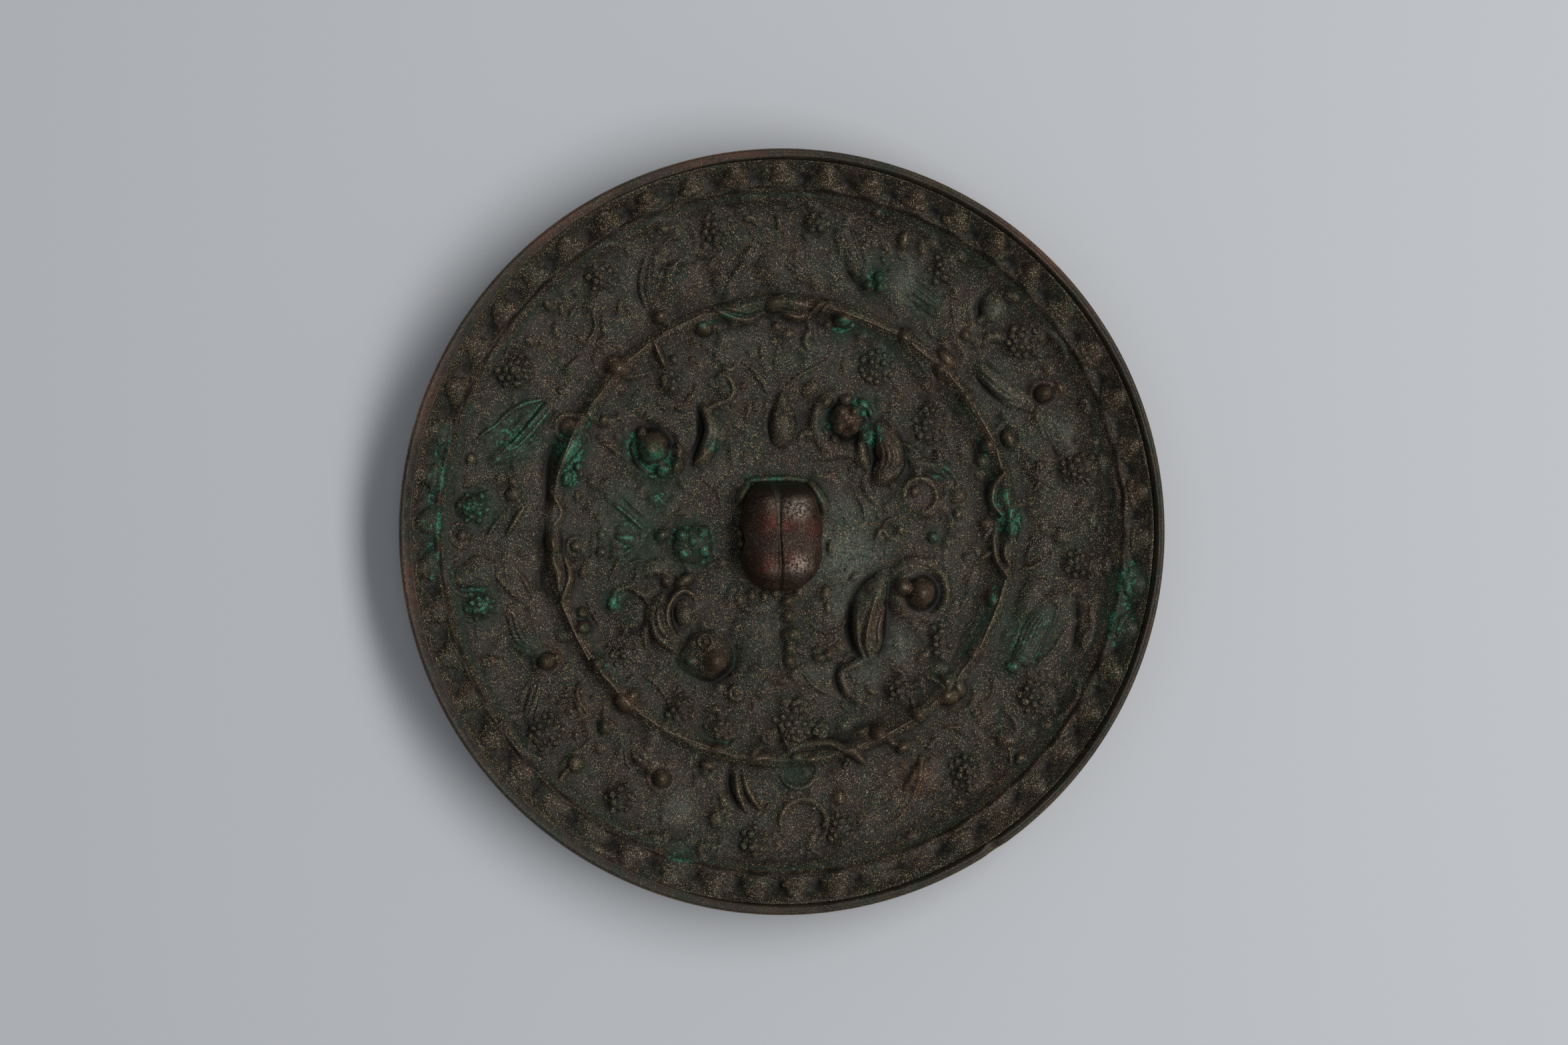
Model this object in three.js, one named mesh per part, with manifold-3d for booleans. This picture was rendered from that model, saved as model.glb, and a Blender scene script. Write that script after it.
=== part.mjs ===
// A cast bronze mirror of the Tang lion-and-grapevine kind, lying on its reflecting face.
// Millimetres, +Z up. The origin is the centre of the reflecting face, and the back faces up.
// The whole mirror is one casting: disc, rim, vine ring, figures and the pierced beast knob.
import * as THREE from "three";
import { mergeVertices } from "three/addons/utils/BufferGeometryUtils.js";
import Module from "manifold-3d";

const wasm = await Module();
wasm.setup();

// ---- driving dimensions ----
const DISC_RADIUS = 60;
const DISC_SIDES = 56;
const FACE_FLAT_RADIUS = 20; // the face is flat here, so the mirror lies still
const FACE_RISE = 0.7; // how far the slightly convex face has risen at the rim

const RIM_HEIGHT = 11;
const LIP_WIDTH = 1.2;
const LIP_BEVEL = 0.35;
const LIP_DROP = 2.4; // from the lip down to the border's floor
const RIM_DRAFT = 0.25; // the rim wall leans in by this much

const BORDER_INNER = 53.9;
const BORDER_EDGE = 0.3; // the thin ridge along the border's inner edge
const OUTER_FIELD = 5.1;
const VINE_RADIUS = 35.9;
const VINE_TOP = 6.5;
const INNER_FIELD = 3.4;

const SINK = 0.25; // how far a figure's foot reaches below the field it stands on
const VINE_SINK = 1.6; // the same for what sits on the sloping vine

const PALMETTES = 49;
const PALMETTE_RADIUS = 56;
const PALMETTE = { reach: 1.8, notch: 0.9, lobe: 1.1, height: 0.9 };

const BERRY_PITCH = 1.4;
const BERRY_HEIGHT = 1.1;
const GRAPE_RADIUS = 48.2;

const KNOB = { x: 0.2, y: -0.6, width: 13.8, top: 10.4 };
const CORD_HOLE = { y: -1.5, width: 5, height: 4.6, corner: 0.6 };

// ---- places on the back, in degrees anticlockwise from +X ----
const LEAFY_NODES = [1, 92, 183.5, 274];
const PLAIN_NODES = [46.4, 135.1, 228.1, 317.1];
const OUTER_GRAPES = [
  12, 37.3, 57.5, 83.2, 101.8, 125, 147.2, 175.5,
  193.6, 220.3, 238.2, 265, 281.8, 307.3, 326.7, 353.7,
];

// ---- small helpers ----
const rad = THREE.MathUtils.degToRad;

function polar(deg, radius) {
  return [radius * Math.cos(rad(deg)), radius * Math.sin(rad(deg))];
}

/** The back of the disc as [radius, height] pairs, from the middle out to the rim wall. */
function backProfile() {
  const lipInner = DISC_RADIUS - RIM_DRAFT - LIP_BEVEL - LIP_WIDTH;
  const border = RIM_HEIGHT - LIP_DROP;
  return [
    [0, INNER_FIELD],
    [VINE_RADIUS - 1.4, INNER_FIELD],
    [VINE_RADIUS, VINE_TOP],
    [VINE_RADIUS + 1.2, OUTER_FIELD],
    [BORDER_INNER - 1.5, OUTER_FIELD],
    [BORDER_INNER, border + BORDER_EDGE],
    [BORDER_INNER + 0.5, border],
    [lipInner - 0.4, border],
    [lipInner, RIM_HEIGHT],
    [lipInner + LIP_WIDTH, RIM_HEIGHT],
    [DISC_RADIUS - RIM_DRAFT, RIM_HEIGHT - LIP_BEVEL],
  ];
}

/** The height of the back's bare surface at a distance from the middle. */
function fieldHeight(radius) {
  const profile = backProfile();
  const next = profile.findIndex(([r]) => r > radius);
  const [r0, z0] = profile[next - 1];
  const [r1, z1] = profile[next];
  return THREE.MathUtils.mapLinear(radius, r0, r1, z0, z1);
}

/** A closed geometry as a solid that can be joined and cut. */
function toSolid(geometry) {
  const bare = geometry.clone();
  bare.deleteAttribute("normal");
  bare.deleteAttribute("uv");
  const merged = mergeVertices(bare, 1e-4);
  const mesh = new wasm.Mesh({
    numProp: 3,
    vertProperties: merged.attributes.position.array,
    triVerts: new Uint32Array(merged.index.array),
  });
  return new wasm.Manifold(mesh);
}

/** A solid from a flat list of corner coordinates, three corners to a triangle. */
function fromTriangles(corners) {
  const geometry = new THREE.BufferGeometry();
  geometry.setAttribute("position", new THREE.Float32BufferAttribute(corners, 3));
  return toSolid(geometry);
}

/** A profile of [radius, height] pairs turned about +Z, both ends on the axis. */
function turned(profile, sides) {
  const points = profile.map(([r, z]) => new THREE.Vector2(r, z));
  return new THREE.LatheGeometry(points, sides).rotateX(Math.PI / 2);
}

// ---- shapes that the figures are made of ----

/** A rounded boss: an oval dome that stands on the field with its foot sunk below it. */
function boss({ x, y, length, width = length, height, turn = 0, sides = 6, tiers = 2, sink = SINK }) {
  const profile = [[0, 0], [1, 0]];
  for (let tier = 1; tier < tiers; tier++) {
    const angle = (tier / tiers) * 0.5 * Math.PI;
    profile.push([Math.cos(0.85 * angle), Math.sin(angle)]);
  }
  profile.push([0, 1]);
  const dome = turned(profile, sides);
  dome.scale(length / 2, width / 2, height + sink);
  dome.rotateZ(rad(turn));
  dome.translate(x, y, fieldHeight(Math.hypot(x, y)) - sink);
  return toSolid(dome);
}

// cross-sections of a ridge, as [across, up] corners seen along its path
const SHARP = [[-1, 0], [0, 1], [1, 0]];
const ROUND = [[-1, 0], [-0.6, 0.8], [0, 1], [0.6, 0.8], [1, 0]];
const FEATHERED = [[-1, 0], [-0.65, 0.9], [-0.35, 0.5], [0, 1], [0.35, 0.5], [0.65, 0.9], [1, 0]];

/** A ridge along a smooth line of [x, y] points: full in the middle, finer towards its tips. */
function ridge(points, { width, height, section = SHARP, step = 2.4, tip = 0.4 }) {
  const line = new THREE.CatmullRomCurve3(points.map(([x, y]) => new THREE.Vector3(x, y, 0)));
  const steps = Math.max(2, Math.round(line.getLength() / step));
  const rings = [];
  for (let i = 0; i <= steps; i++) {
    const at = line.getPointAt(i / steps);
    const along = line.getTangentAt(i / steps);
    const swell = tip + (1 - tip) * Math.sin((Math.PI * i) / steps);
    const foot = fieldHeight(Math.hypot(at.x, at.y)) - SINK;
    rings.push(
      section.map(([across, up]) => {
        const aside = 0.5 * width * swell * across;
        return [at.x + along.y * aside, at.y - along.x * aside, foot + up * (SINK + height * swell)];
      }),
    );
  }
  return loft(rings);
}

/** Joins rings of corners into a closed solid with capped ends. */
function loft(rings) {
  const corners = [];
  const triangle = (...points) => corners.push(...points.flat());
  for (let i = 0; i + 1 < rings.length; i++) {
    const [near, far] = [rings[i], rings[i + 1]];
    for (let k = 0; k < near.length; k++) {
      const next = (k + 1) % near.length;
      triangle(near[k], near[next], far[next]);
      triangle(near[k], far[next], far[k]);
    }
  }
  const [first, last] = [rings[0], rings.at(-1)];
  for (let k = 1; k + 1 < first.length; k++) {
    triangle(first[0], first[k + 1], first[k]);
    triangle(last[0], last[k], last[k + 1]);
  }
  return fromTriangles(corners);
}

/** A bunch of grapes: a honeycomb of pointed berries whose rows cross the direction `turn`. */
function grapes({ x, y, turn, rows }) {
  const berries = rows.flatMap((count, row) =>
    Array.from({ length: count }, (_, k) => [
      ((rows.length - 1) / 2 - row) * BERRY_PITCH * Math.sin(rad(60)),
      (k - (count - 1) / 2) * BERRY_PITCH,
    ]),
  );
  const snap = (length) => Math.round(length * 1000) / 1000;
  const cellCorner = ([u, v], k) => {
    const [du, dv] = polar(60 * k, BERRY_PITCH / Math.sqrt(3));
    return [snap(u + du), snap(v + dv)];
  };

  // a corner that fewer than three berries share is on the bunch's edge, and goes down
  const shared = new Map();
  for (const berry of berries) {
    for (let k = 0; k < 6; k++) {
      const name = String(cellCorner(berry, k));
      shared.set(name, (shared.get(name) ?? 0) + 1);
    }
  }
  const field = fieldHeight(Math.hypot(x, y));
  const place = ([u, v], height) => {
    const [c, s] = [Math.cos(rad(turn)), Math.sin(rad(turn))];
    return [x + u * c - v * s, y + u * s + v * c, field + height];
  };
  const corners = [];
  for (const berry of berries) {
    for (let k = 0; k < 6; k++) {
      const pair = [cellCorner(berry, k), cellCorner(berry, k + 1)];
      const tops = pair.map((corner) => (shared.get(String(corner)) < 3 ? -SINK : BERRY_HEIGHT / 2));
      corners.push(...place(berry, BERRY_HEIGHT));
      corners.push(...place(pair[0], tops[0]), ...place(pair[1], tops[1]));
      corners.push(...place(berry, -SINK), ...place(pair[1], -SINK), ...place(pair[0], -SINK));
    }
  }
  return fromTriangles(corners);
}

/** A trefoil: three pointed lobes around a hollow, the first lobe towards `turn`. */
function trefoil({ x, y, turn, reach, notch, lobe, height }) {
  const field = fieldHeight(Math.hypot(x, y));
  const at = (distance, angle, up) => {
    const [dx, dy] = polar(turn + angle, distance);
    return [x + dx, y + dy, field + up];
  };
  const corners = [];
  for (let k = 0; k < 3; k++) {
    const middle = 120 * k;
    const outline = [-60, -30, 30, 60].map((swing) => {
      const distance = Math.abs(swing) === 60 ? notch : reach;
      return at(distance, middle + swing, -SINK);
    });
    const peak = at(lobe, middle, height);
    const hollow = at(0, 0, height / 3);
    const ring = [hollow, ...outline];
    for (let i = 0; i < ring.length; i++) {
      const next = ring[(i + 1) % ring.length];
      corners.push(...peak, ...ring[i], ...next);
    }
    for (let i = 0; i + 1 < outline.length; i++) {
      corners.push(...at(0, 0, -SINK), ...outline[i + 1], ...outline[i]);
    }
  }
  return fromTriangles(corners);
}

// ---- the disc and its border ----

/** The disc: a slightly convex face, the rim wall, and the stepped back. */
function disc() {
  const face = [[0, 0], [FACE_FLAT_RADIUS, 0], [DISC_RADIUS, FACE_RISE]];
  return toSolid(turned([...face, ...backProfile().reverse()], DISC_SIDES));
}

/** The small palmettes that stand side by side around the border. */
function palmettes() {
  return Array.from({ length: PALMETTES }, (_, k) => {
    const turn = palmetteDegrees(k);
    const [x, y] = polar(turn, PALMETTE_RADIUS);
    return trefoil({ x, y, turn, ...PALMETTE });
  });
}

/** The palmettes were pressed in one by one, and part of the row has crept round a little. */
function palmetteDegrees(k) {
  const even = (360 * k) / PALMETTES - 1;
  const creep = 3.1;
  const { smoothstep } = THREE.MathUtils;
  return even + creep * smoothstep(even, 10, 45) * (1 - smoothstep(even, 250, 285));
}

// ---- the vine ring ----

/** Everything on the vine ring: leafy and plain nodes, each with its scrolls and beads. */
function vineRing() {
  return [...LEAFY_NODES.flatMap(leafyNode), ...PLAIN_NODES.flatMap(plainNode)];
}

/** A fruit between a pair of scrolls, with a bead further along the vine each way. */
function leafyNode(deg) {
  const scroll = { width: 1.8, height: 1.2, step: 3 };
  const parts = [
    ringBoss(deg, 0.5, { length: 2.5, width: 3.6, height: 1.6 }),
    ringBoss(deg, -3.8, { length: 2, height: 1.2, sides: 5, tiers: 1 }),
  ];
  for (const side of [-1, 1]) {
    const along = (offset, out) => polar(deg + side * offset, VINE_RADIUS + out);
    parts.push(ridge([along(12.5, -1.2), along(10, -2.2), along(6.5, -2.8), along(3, -1.8)], scroll));
    parts.push(ringBoss(deg + side * 20.5, -1.4, { length: 2.6, width: 3.4, height: 2.2, tiers: 1 }));
  }
  return parts;
}

/** A broad berry outside the vine and a small one inside. */
function plainNode(deg) {
  return [
    ringBoss(deg, 1.6, { length: 2.6, width: 4, height: 1.6 }),
    ringBoss(deg, -1.3, { length: 2.2, height: 1.9, sides: 5, tiers: 1 }),
  ];
}

/** A boss beside the vine: `out` is how far it stands outside the ring's middle. */
function ringBoss(deg, out, size) {
  const [x, y] = polar(deg, VINE_RADIUS + out);
  return boss({ x, y, turn: deg, sink: VINE_SINK, ...size });
}

// ---- the outer field: grapes, buds and birds ----

/** The sixteen bunches that hang inwards around the outer field. */
function outerGrapes() {
  return OUTER_GRAPES.map((deg) => {
    const [x, y] = polar(deg, GRAPE_RADIUS);
    return grapes({ x, y, turn: deg, rows: [2, 3, 2, 1] });
  });
}

// the leaves and buds between the bunches, as degrees, radius and size
const BUDS = [
  [46.4, 48.1, 3.8], [22.7, 51.2, 2.6], [22.4, 38.8, 2.2], [47.4, 42.5, 2], [67, 49.8, 2.6],
  [136, 51, 2.2], [167.5, 50.2, 2.4], [187.8, 50.2, 3.6], [203.7, 50.4, 2.4], [228, 49.4, 2.6],
  [227.4, 41.5, 2.2], [250.5, 51, 2.4], [257.4, 46.5, 3.4], [252.3, 38.8, 2.2], [282.3, 42.7, 2.4],
  [293, 51, 2.2], [317, 48.5, 3.4], [340.3, 50.6, 2.8],
];

function buds() {
  return BUDS.map(([deg, radius, size]) => {
    const [x, y] = polar(deg, radius);
    return boss({ x, y, length: size, width: 0.85 * size, height: 1, turn: deg, tiers: size > 2.5 ? 2 : 1 });
  });
}

// the birds around the outer field: a head, then each wing from its shoulder to its tip
const BIRDS = [
  { head: [27.7, 46.7], wings: [[28.5, 44.5, 39.5, 41], [25.5, 44.5, 16.5, 46]] },
  { head: [69.5, 41.8], wings: [[70.5, 43.4, 76.5, 48.5], [67.5, 43.4, 56, 44]] },
  { head: [119.5, 39.4], wings: [[119, 41.5, 114.5, 49], [116.5, 41, 106, 45]] },
  { head: [92, 41.5], wings: [[95, 40.5, 102.5, 42.5], [89, 44, 81.5, 40.2]] },
  { head: [153.2, 41.6], wings: [[153.5, 42.8, 166, 46.4]] },
  { head: [208.7, 42.3], wings: [[211, 43.6, 216.5, 49.4], [206, 42.6, 197, 43.2]] },
  { head: [243.7, 43.3], wings: [[245.5, 44.4, 252.5, 46.6]] },
  { head: [300, 39.2], wings: [[301.5, 42.2, 294.5, 45], [293, 47, 285.5, 46]] },
  { head: [329.7, 42.3], wings: [[332.5, 43.3, 345.5, 44]] },
];

/** A bird seen from above: a bead for its head, and a pleated wing on one side or both. */
function bird({ head, wings }) {
  const [x, y] = polar(...head);
  const parts = [boss({ x, y, length: 2.6, height: 1.7, turn: head[0] })];
  for (const [fromDeg, fromRadius, toDeg, toRadius] of wings) {
    const line = [polar(fromDeg, fromRadius), polar(toDeg, toRadius)];
    parts.push(ridge(line, { width: 5.2, height: 1.1, section: FEATHERED, step: 4, tip: 0.55 }));
  }
  return parts;
}

/** The curled loop of vine that stands alone near the bottom of the outer field. */
function curledVine() {
  const [x, y] = polar(273.8, 46.9);
  const loop = [];
  for (let deg = -50; deg <= 230; deg += 40) {
    loop.push([x + 2.9 * Math.cos(rad(deg)), y + 3.2 * Math.sin(rad(deg))]);
  }
  return ridge(loop, { width: 1.3, height: 0.8, tip: 0.7 });
}

// ---- the inner field: four beasts, grapes and small creatures ----

/** A beast's head: a round skull in a ruff, with a small boss for each ear or eye. */
function beastHead({ x, y, skull, ruff, ears }) {
  return [
    boss({ x, y, length: 2 * ruff, height: 0.9, sides: 8 }),
    boss({ x, y, length: 2 * skull, height: 3.1, sides: 8, tiers: 3 }),
    ...ears.map(([earX, earY]) => boss({ x: earX, y: earY, length: 2.2, height: 1.9, sides: 5, tiers: 1 })),
  ];
}

function beasts() {
  const flank = (width) => ({ width, height: 1.9, section: ROUND, step: 3 });
  const limb = { width: 1.8, height: 1.1 };
  return [
    // upper left: its back bends round to the right, and the tail stands up
    ...beastHead({ x: -20.2, y: 13.2, skull: 2.7, ruff: 4.2, ears: [[-16.7, 12.7], [-18.8, 9.7]] }),
    ridge([[-14.6, 10.6], [-12.3, 12.5], [-11.2, 15.6], [-10.8, 19.2]], flank(4)),
    ridge([[-10.8, 18.6], [-8, 20.6], [-7.2, 22.6], [-8.6, 24.8], [-10, 23.6]], limb),
    // upper right: a broad flank below the head, and a long tail that curls
    ...beastHead({ x: 10.4, y: 17.7, skull: 2.6, ruff: 4.3, ears: [[13.2, 19.4], [7.6, 19.8]] }),
    ridge([[14.8, 16.8], [17.2, 13.6], [17.2, 10.4], [14.8, 7.4]], flank(5)),
    ridge([[14.8, 8], [14, 6], [15, 4.2]], limb),
    ridge([[19, 12.4], [22.5, 11], [25.5, 10.2], [28.2, 8]], limb),
    ridge([[23.8, 3.4], [24.2, 6], [22.4, 8.2], [20, 7.4], [20, 5]], limb),
    // lower right: a crescent body, with the hind leg trailing down
    ...beastHead({ x: 21.8, y: -9.7, skull: 2.4, ruff: 4.2, ears: [[19.2, -8], [19, -11.6]] }),
    ridge([[16.4, -7.6], [13.6, -11.5], [12.8, -16], [14, -20.2]], flank(4.6)),
    ridge([[13.8, -19.6], [9.2, -22], [9.6, -25], [11.4, -27.6]], limb),
    // lower left: an arched neck above the head, and a tail that hooks over to the left
    ...beastHead({ x: -11.6, y: -19.5, skull: 2.3, ruff: 3.9, ears: [[-12, -16.8], [-14.5, -20.4]] }),
    ridge([[-15.6, -17.6], [-18.4, -14.6], [-18.6, -11], [-16.4, -9.4], [-14, -10.6]], flank(3.8)),
    ridge([[-27, -11.6], [-25.6, -8.8], [-22.8, -9.2], [-20.6, -12.4]], limb),
  ];
}

function innerGrapes() {
  return [
    { x: -17.4, y: 24, turn: 125, rows: [2, 3, 2] },
    { x: 16.4, y: 26, turn: 60, rows: [2, 3, 2] },
    { x: 23.6, y: 17.4, turn: 80, rows: [2, 3, 4, 3] },
    { x: 25.6, y: -17.4, turn: 0, rows: [2, 3, 4] },
    { x: 18.8, y: -26, turn: -50, rows: [2, 3, 2] },
    { x: -24.9, y: -19.6, turn: 90, rows: [3, 4, 3, 2] },
    { x: -15.8, y: -28, turn: 90, rows: [2, 3, 2, 1] },
    { x: 2.6, y: -30.4, turn: 90, rows: [3, 4, 3] },
  ].map(grapes);
}

/** The small creatures and stems between the beasts. */
function innerSmallThings() {
  const stem = { width: 1.3, height: 0.8, step: 3.4 };
  return [
    boss({ x: 0, y: 16, length: 5.4, width: 3.4, height: 1.3, turn: 90 }),
    boss({ x: 0, y: 20.4, length: 2.6, width: 2, height: 1.1, turn: 90 }),
    ridge([[-5.6, 26.6], [-3.4, 24.6], [-1, 22]], stem),
    ridge([[5, 26], [2.8, 24.6], [0.8, 22]], stem),
    boss({ x: -14.4, y: -1.4, length: 5.2, width: 4.2, height: 1, turn: 35 }),
    boss({ x: -18.8, y: -0.5, length: 2, width: 1.5, height: 1.1, sides: 5 }),
    boss({ x: -24.3, y: -1, length: 3.4, width: 1.7, height: 0.8, turn: -10, sides: 5 }),
    ridge([[-26.4, 4], [-24, 2.6], [-21.6, 0.6]], stem),
    ridge([[-26.4, -6], [-24.6, -3.4], [-21.6, -1.6]], stem),
    ridge([[15, -1.4], [16.2, 0.4], [17.6, -1.2]], stem),
    ridge([[4.4, -14], [7.4, -15.8], [11, -14.2]], stem),
    boss({ x: 6.9, y: -19.6, length: 2.8, width: 1.5, height: 0.9, turn: 20, sides: 5 }),
    ridge([[1, -21.6], [4, -23.6], [7.8, -25.4]], stem),
    boss({ x: -7.1, y: -25.6, length: 2.4, height: 0.9 }),
  ];
}

// ---- the knob: a crouching beast, pierced crosswise for a cord ----

/** The beast's shoulders and haunches on a low saddle, with its legs at the corners. */
function knobBody() {
  const height = KNOB.top - INNER_FIELD;
  const lobe = { length: 9.6, width: 7.4, height, turn: 90, sides: 10, tiers: 3 };
  const parts = [
    boss({ x: KNOB.x, y: KNOB.y, length: 13, width: 12.6, height: height - 0.5, sides: 12, tiers: 3 }),
  ];
  for (const side of [-1, 1]) {
    const [x, y] = [KNOB.x + side * 2.9, KNOB.y];
    parts.push(boss({ x, y: y + 4, ...lobe }), boss({ x, y: y - 4.1, ...lobe }));
    const foreleg = [[x + side * 2.4, y + 8.6], [x + side * 3.6, y + 6.2], [x + side * 3.9, y + 3.8]];
    parts.push(ridge(foreleg, { width: 1.8, height: 3, section: ROUND }));
    parts.push(boss({ x: x + side * 2, y: y - 7.4, length: 2.8, height: 2.2, sides: 5 }));
  }
  return wasm.Manifold.union(parts);
}

/** The row of beads that runs down from the knob as the beast's tail. */
function knobTail() {
  return [-9.9, -12, -14.1, -16.3, -18.4, -20.5].map((y, i) =>
    boss({ x: 1 + 0.4 * (i % 2), y, length: 2.2, width: 2, height: 1.2, tiers: 1 }),
  );
}

/** The tunnel for the cord, long enough to leave the knob at both sides. */
function cordHole() {
  const { width, height, corner } = CORD_HOLE;
  const half = width / 2;
  const arch = new THREE.Shape();
  arch.moveTo(-half, 0);
  arch.lineTo(half, 0);
  arch.lineTo(half, height - corner);
  arch.lineTo(half - corner, height);
  arch.lineTo(-half + corner, height);
  arch.lineTo(-half, height - corner);
  const depth = KNOB.width + 4;
  const tunnel = new THREE.ExtrudeGeometry(arch, { depth, bevelEnabled: false });
  tunnel.rotateX(Math.PI / 2).rotateZ(Math.PI / 2);
  return toSolid(tunnel.translate(KNOB.x - depth / 2, CORD_HOLE.y, INNER_FIELD));
}

// ---- the whole mirror ----

function mirror() {
  const figures = [
    disc(),
    ...palmettes(),
    ...vineRing(),
    ...outerGrapes(),
    ...buds(),
    ...BIRDS.flatMap(bird),
    curledVine(),
    ...beasts(),
    ...innerGrapes(),
    ...innerSmallThings(),
    ...knobTail(),
    knobBody().subtract(cordHole()),
  ];
  const mesh = wasm.Manifold.union(figures).getMesh();
  const geometry = new THREE.BufferGeometry();
  geometry.setAttribute("position", new THREE.BufferAttribute(new Float32Array(mesh.vertProperties), 3));
  geometry.setIndex(new THREE.BufferAttribute(mesh.triVerts, 1));
  return geometry;
}

const bronze = new THREE.MeshStandardMaterial({
  color: 0x3a332b,
  roughness: 0.55,
  metalness: 0.7,
  flatShading: true,
});

const casting = new THREE.Mesh(mirror(), bronze);
casting.name = "mirror";

const group = new THREE.Group();
group.add(casting);

export default group;
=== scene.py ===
"""The looks of a cast bronze mirror of the lion-and-grapevine kind, lying with its back up.

The relief is worked out on a square grid of heights, in millimetres of the design. A disc and
rings of mesh take their surface from it. The berries, the palmettes' lobes and the vine's bare
stem are made with Geometry Nodes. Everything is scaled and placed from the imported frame.
"""
import logging
import math
from dataclasses import dataclass, field
from enum import Enum

import bmesh
import bpy
import numpy as np
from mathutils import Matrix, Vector


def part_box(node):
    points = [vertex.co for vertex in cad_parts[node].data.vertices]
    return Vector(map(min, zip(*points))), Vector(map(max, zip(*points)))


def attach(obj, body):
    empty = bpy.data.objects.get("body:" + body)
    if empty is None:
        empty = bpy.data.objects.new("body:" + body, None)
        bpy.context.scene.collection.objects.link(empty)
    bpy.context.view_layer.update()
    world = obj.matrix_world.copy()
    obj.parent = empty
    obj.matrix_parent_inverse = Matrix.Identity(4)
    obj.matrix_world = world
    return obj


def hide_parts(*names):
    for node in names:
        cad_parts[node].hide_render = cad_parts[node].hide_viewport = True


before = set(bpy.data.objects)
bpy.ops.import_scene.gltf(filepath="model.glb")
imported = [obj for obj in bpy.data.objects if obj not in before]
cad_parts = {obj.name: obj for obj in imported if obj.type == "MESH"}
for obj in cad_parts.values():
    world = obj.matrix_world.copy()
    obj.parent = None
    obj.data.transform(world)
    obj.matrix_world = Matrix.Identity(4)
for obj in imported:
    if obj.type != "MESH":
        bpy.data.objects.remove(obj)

logging.basicConfig(level=logging.INFO, format="%(message)s")
log = logging.getLogger("mirror")

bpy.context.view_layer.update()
CAD_LOW, CAD_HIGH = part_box("mirror")

DESIGN_DIAMETER = 120.0
MM = (CAD_HIGH[0] - CAD_LOW[0]) / DESIGN_DIAMETER  # metres for one millimetre of the design
CENTRE_X = (CAD_HIGH[0] + CAD_LOW[0]) / 2
CENTRE_Y = (CAD_HIGH[1] + CAD_LOW[1]) / 2

BORDER_RADIUS = 53.9  # the thin ridge along the border's inner edge
CORE_HEIGHT = 1.6  # the underside of the relief pieces, inside the casting
SEED = 7
TURN = 2 * math.pi

Array = np.ndarray
Generator = np.random.Generator
Material = bpy.types.Material
Piece = bpy.types.Object
Socket = bpy.types.NodeSocket
Point = tuple[float, float]
Colour = tuple[float, float, float]
Shade = tuple[int, int, int]
Places = tuple[tuple[float, ...], ...]
Lines = tuple[tuple[float, float, list[Point]], ...]  # width, height, then the points of each


def polar(deg: float, radius: float) -> Point:
    """A point of the design from its angle, anticlockwise from +X, and its radius."""
    return radius * math.cos(math.radians(deg)), radius * math.sin(math.radians(deg))


def polar_line(places: list[Point]) -> list[Point]:
    """Points of the design from (degrees, radius) pairs."""
    return [polar(deg, radius) for deg, radius in places]


def smooth_line(points: list[Point], spacing: float = 0.25) -> Array:
    """A smooth curve through the points.

    Args:
        points: The points that it passes through, in millimetres.
        spacing: The rough distance between the points that are returned.

    Returns:
        An array of points along the curve, one row each.
    """
    given = np.array(points, float)
    if len(given) == 2:
        count = max(2, int(np.hypot(*(given[1] - given[0])) / spacing) + 1)
        return np.linspace(given[0], given[1], count)
    padded = np.vstack([2 * given[0] - given[1], given, 2 * given[-1] - given[-2]])
    parts = []
    for i in range(1, len(padded) - 2):
        p0, p1, p2, p3 = padded[i - 1:i + 3]
        count = max(2, int(np.hypot(*(p2 - p1)) / spacing) + 1)
        t = np.linspace(0, 1, count, endpoint=False)[:, None]
        cubic = 2 * p1 + (p2 - p0) * t + (2 * p0 - 5 * p1 + 4 * p2 - p3) * t**2
        parts.append((cubic + (3 * p1 - p0 - 3 * p2 + p3) * t**3) / 2)
    return np.vstack([*parts, given[-1:]])


def smooth_step(low: float, high: float, value: Array) -> Array:
    """0 below low, 1 above high, and smooth in between."""
    t = np.clip((value - low) / (high - low), 0, 1)
    return t * t * (3 - 2 * t)


def blurred(values: Array, radius_cells: float) -> Array:
    """The array smoothed by a bell curve whose standard deviation is radius_cells."""
    reach = max(1, int(3 * radius_cells))
    kernel = np.exp(-0.5 * (np.arange(-reach, reach + 1) / radius_cells) ** 2)
    kernel /= kernel.sum()
    for axis in (0, 1):
        size = values.shape[axis]
        pad = [(0, 0), (0, 0)]
        pad[axis] = (reach, reach)
        wide = np.pad(values, pad, mode="edge")
        total = np.zeros_like(values)
        for k, weight in enumerate(kernel):
            part = wide[k:k + size] if axis == 0 else wide[:, k:k + size]
            total += weight * part
        values = total
    return values


class Form(Enum):
    """How a raised form falls from its crest to its edge."""

    ROUND = 0.6
    SOFT = 1.1
    LOW = 2.0


SOFT, LOW = Form.SOFT, Form.LOW
MASKS = ("crest", "deep", "green", "haze", "copper", "ochre", "tan")


# ---- the relief as a grid of heights ----


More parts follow.
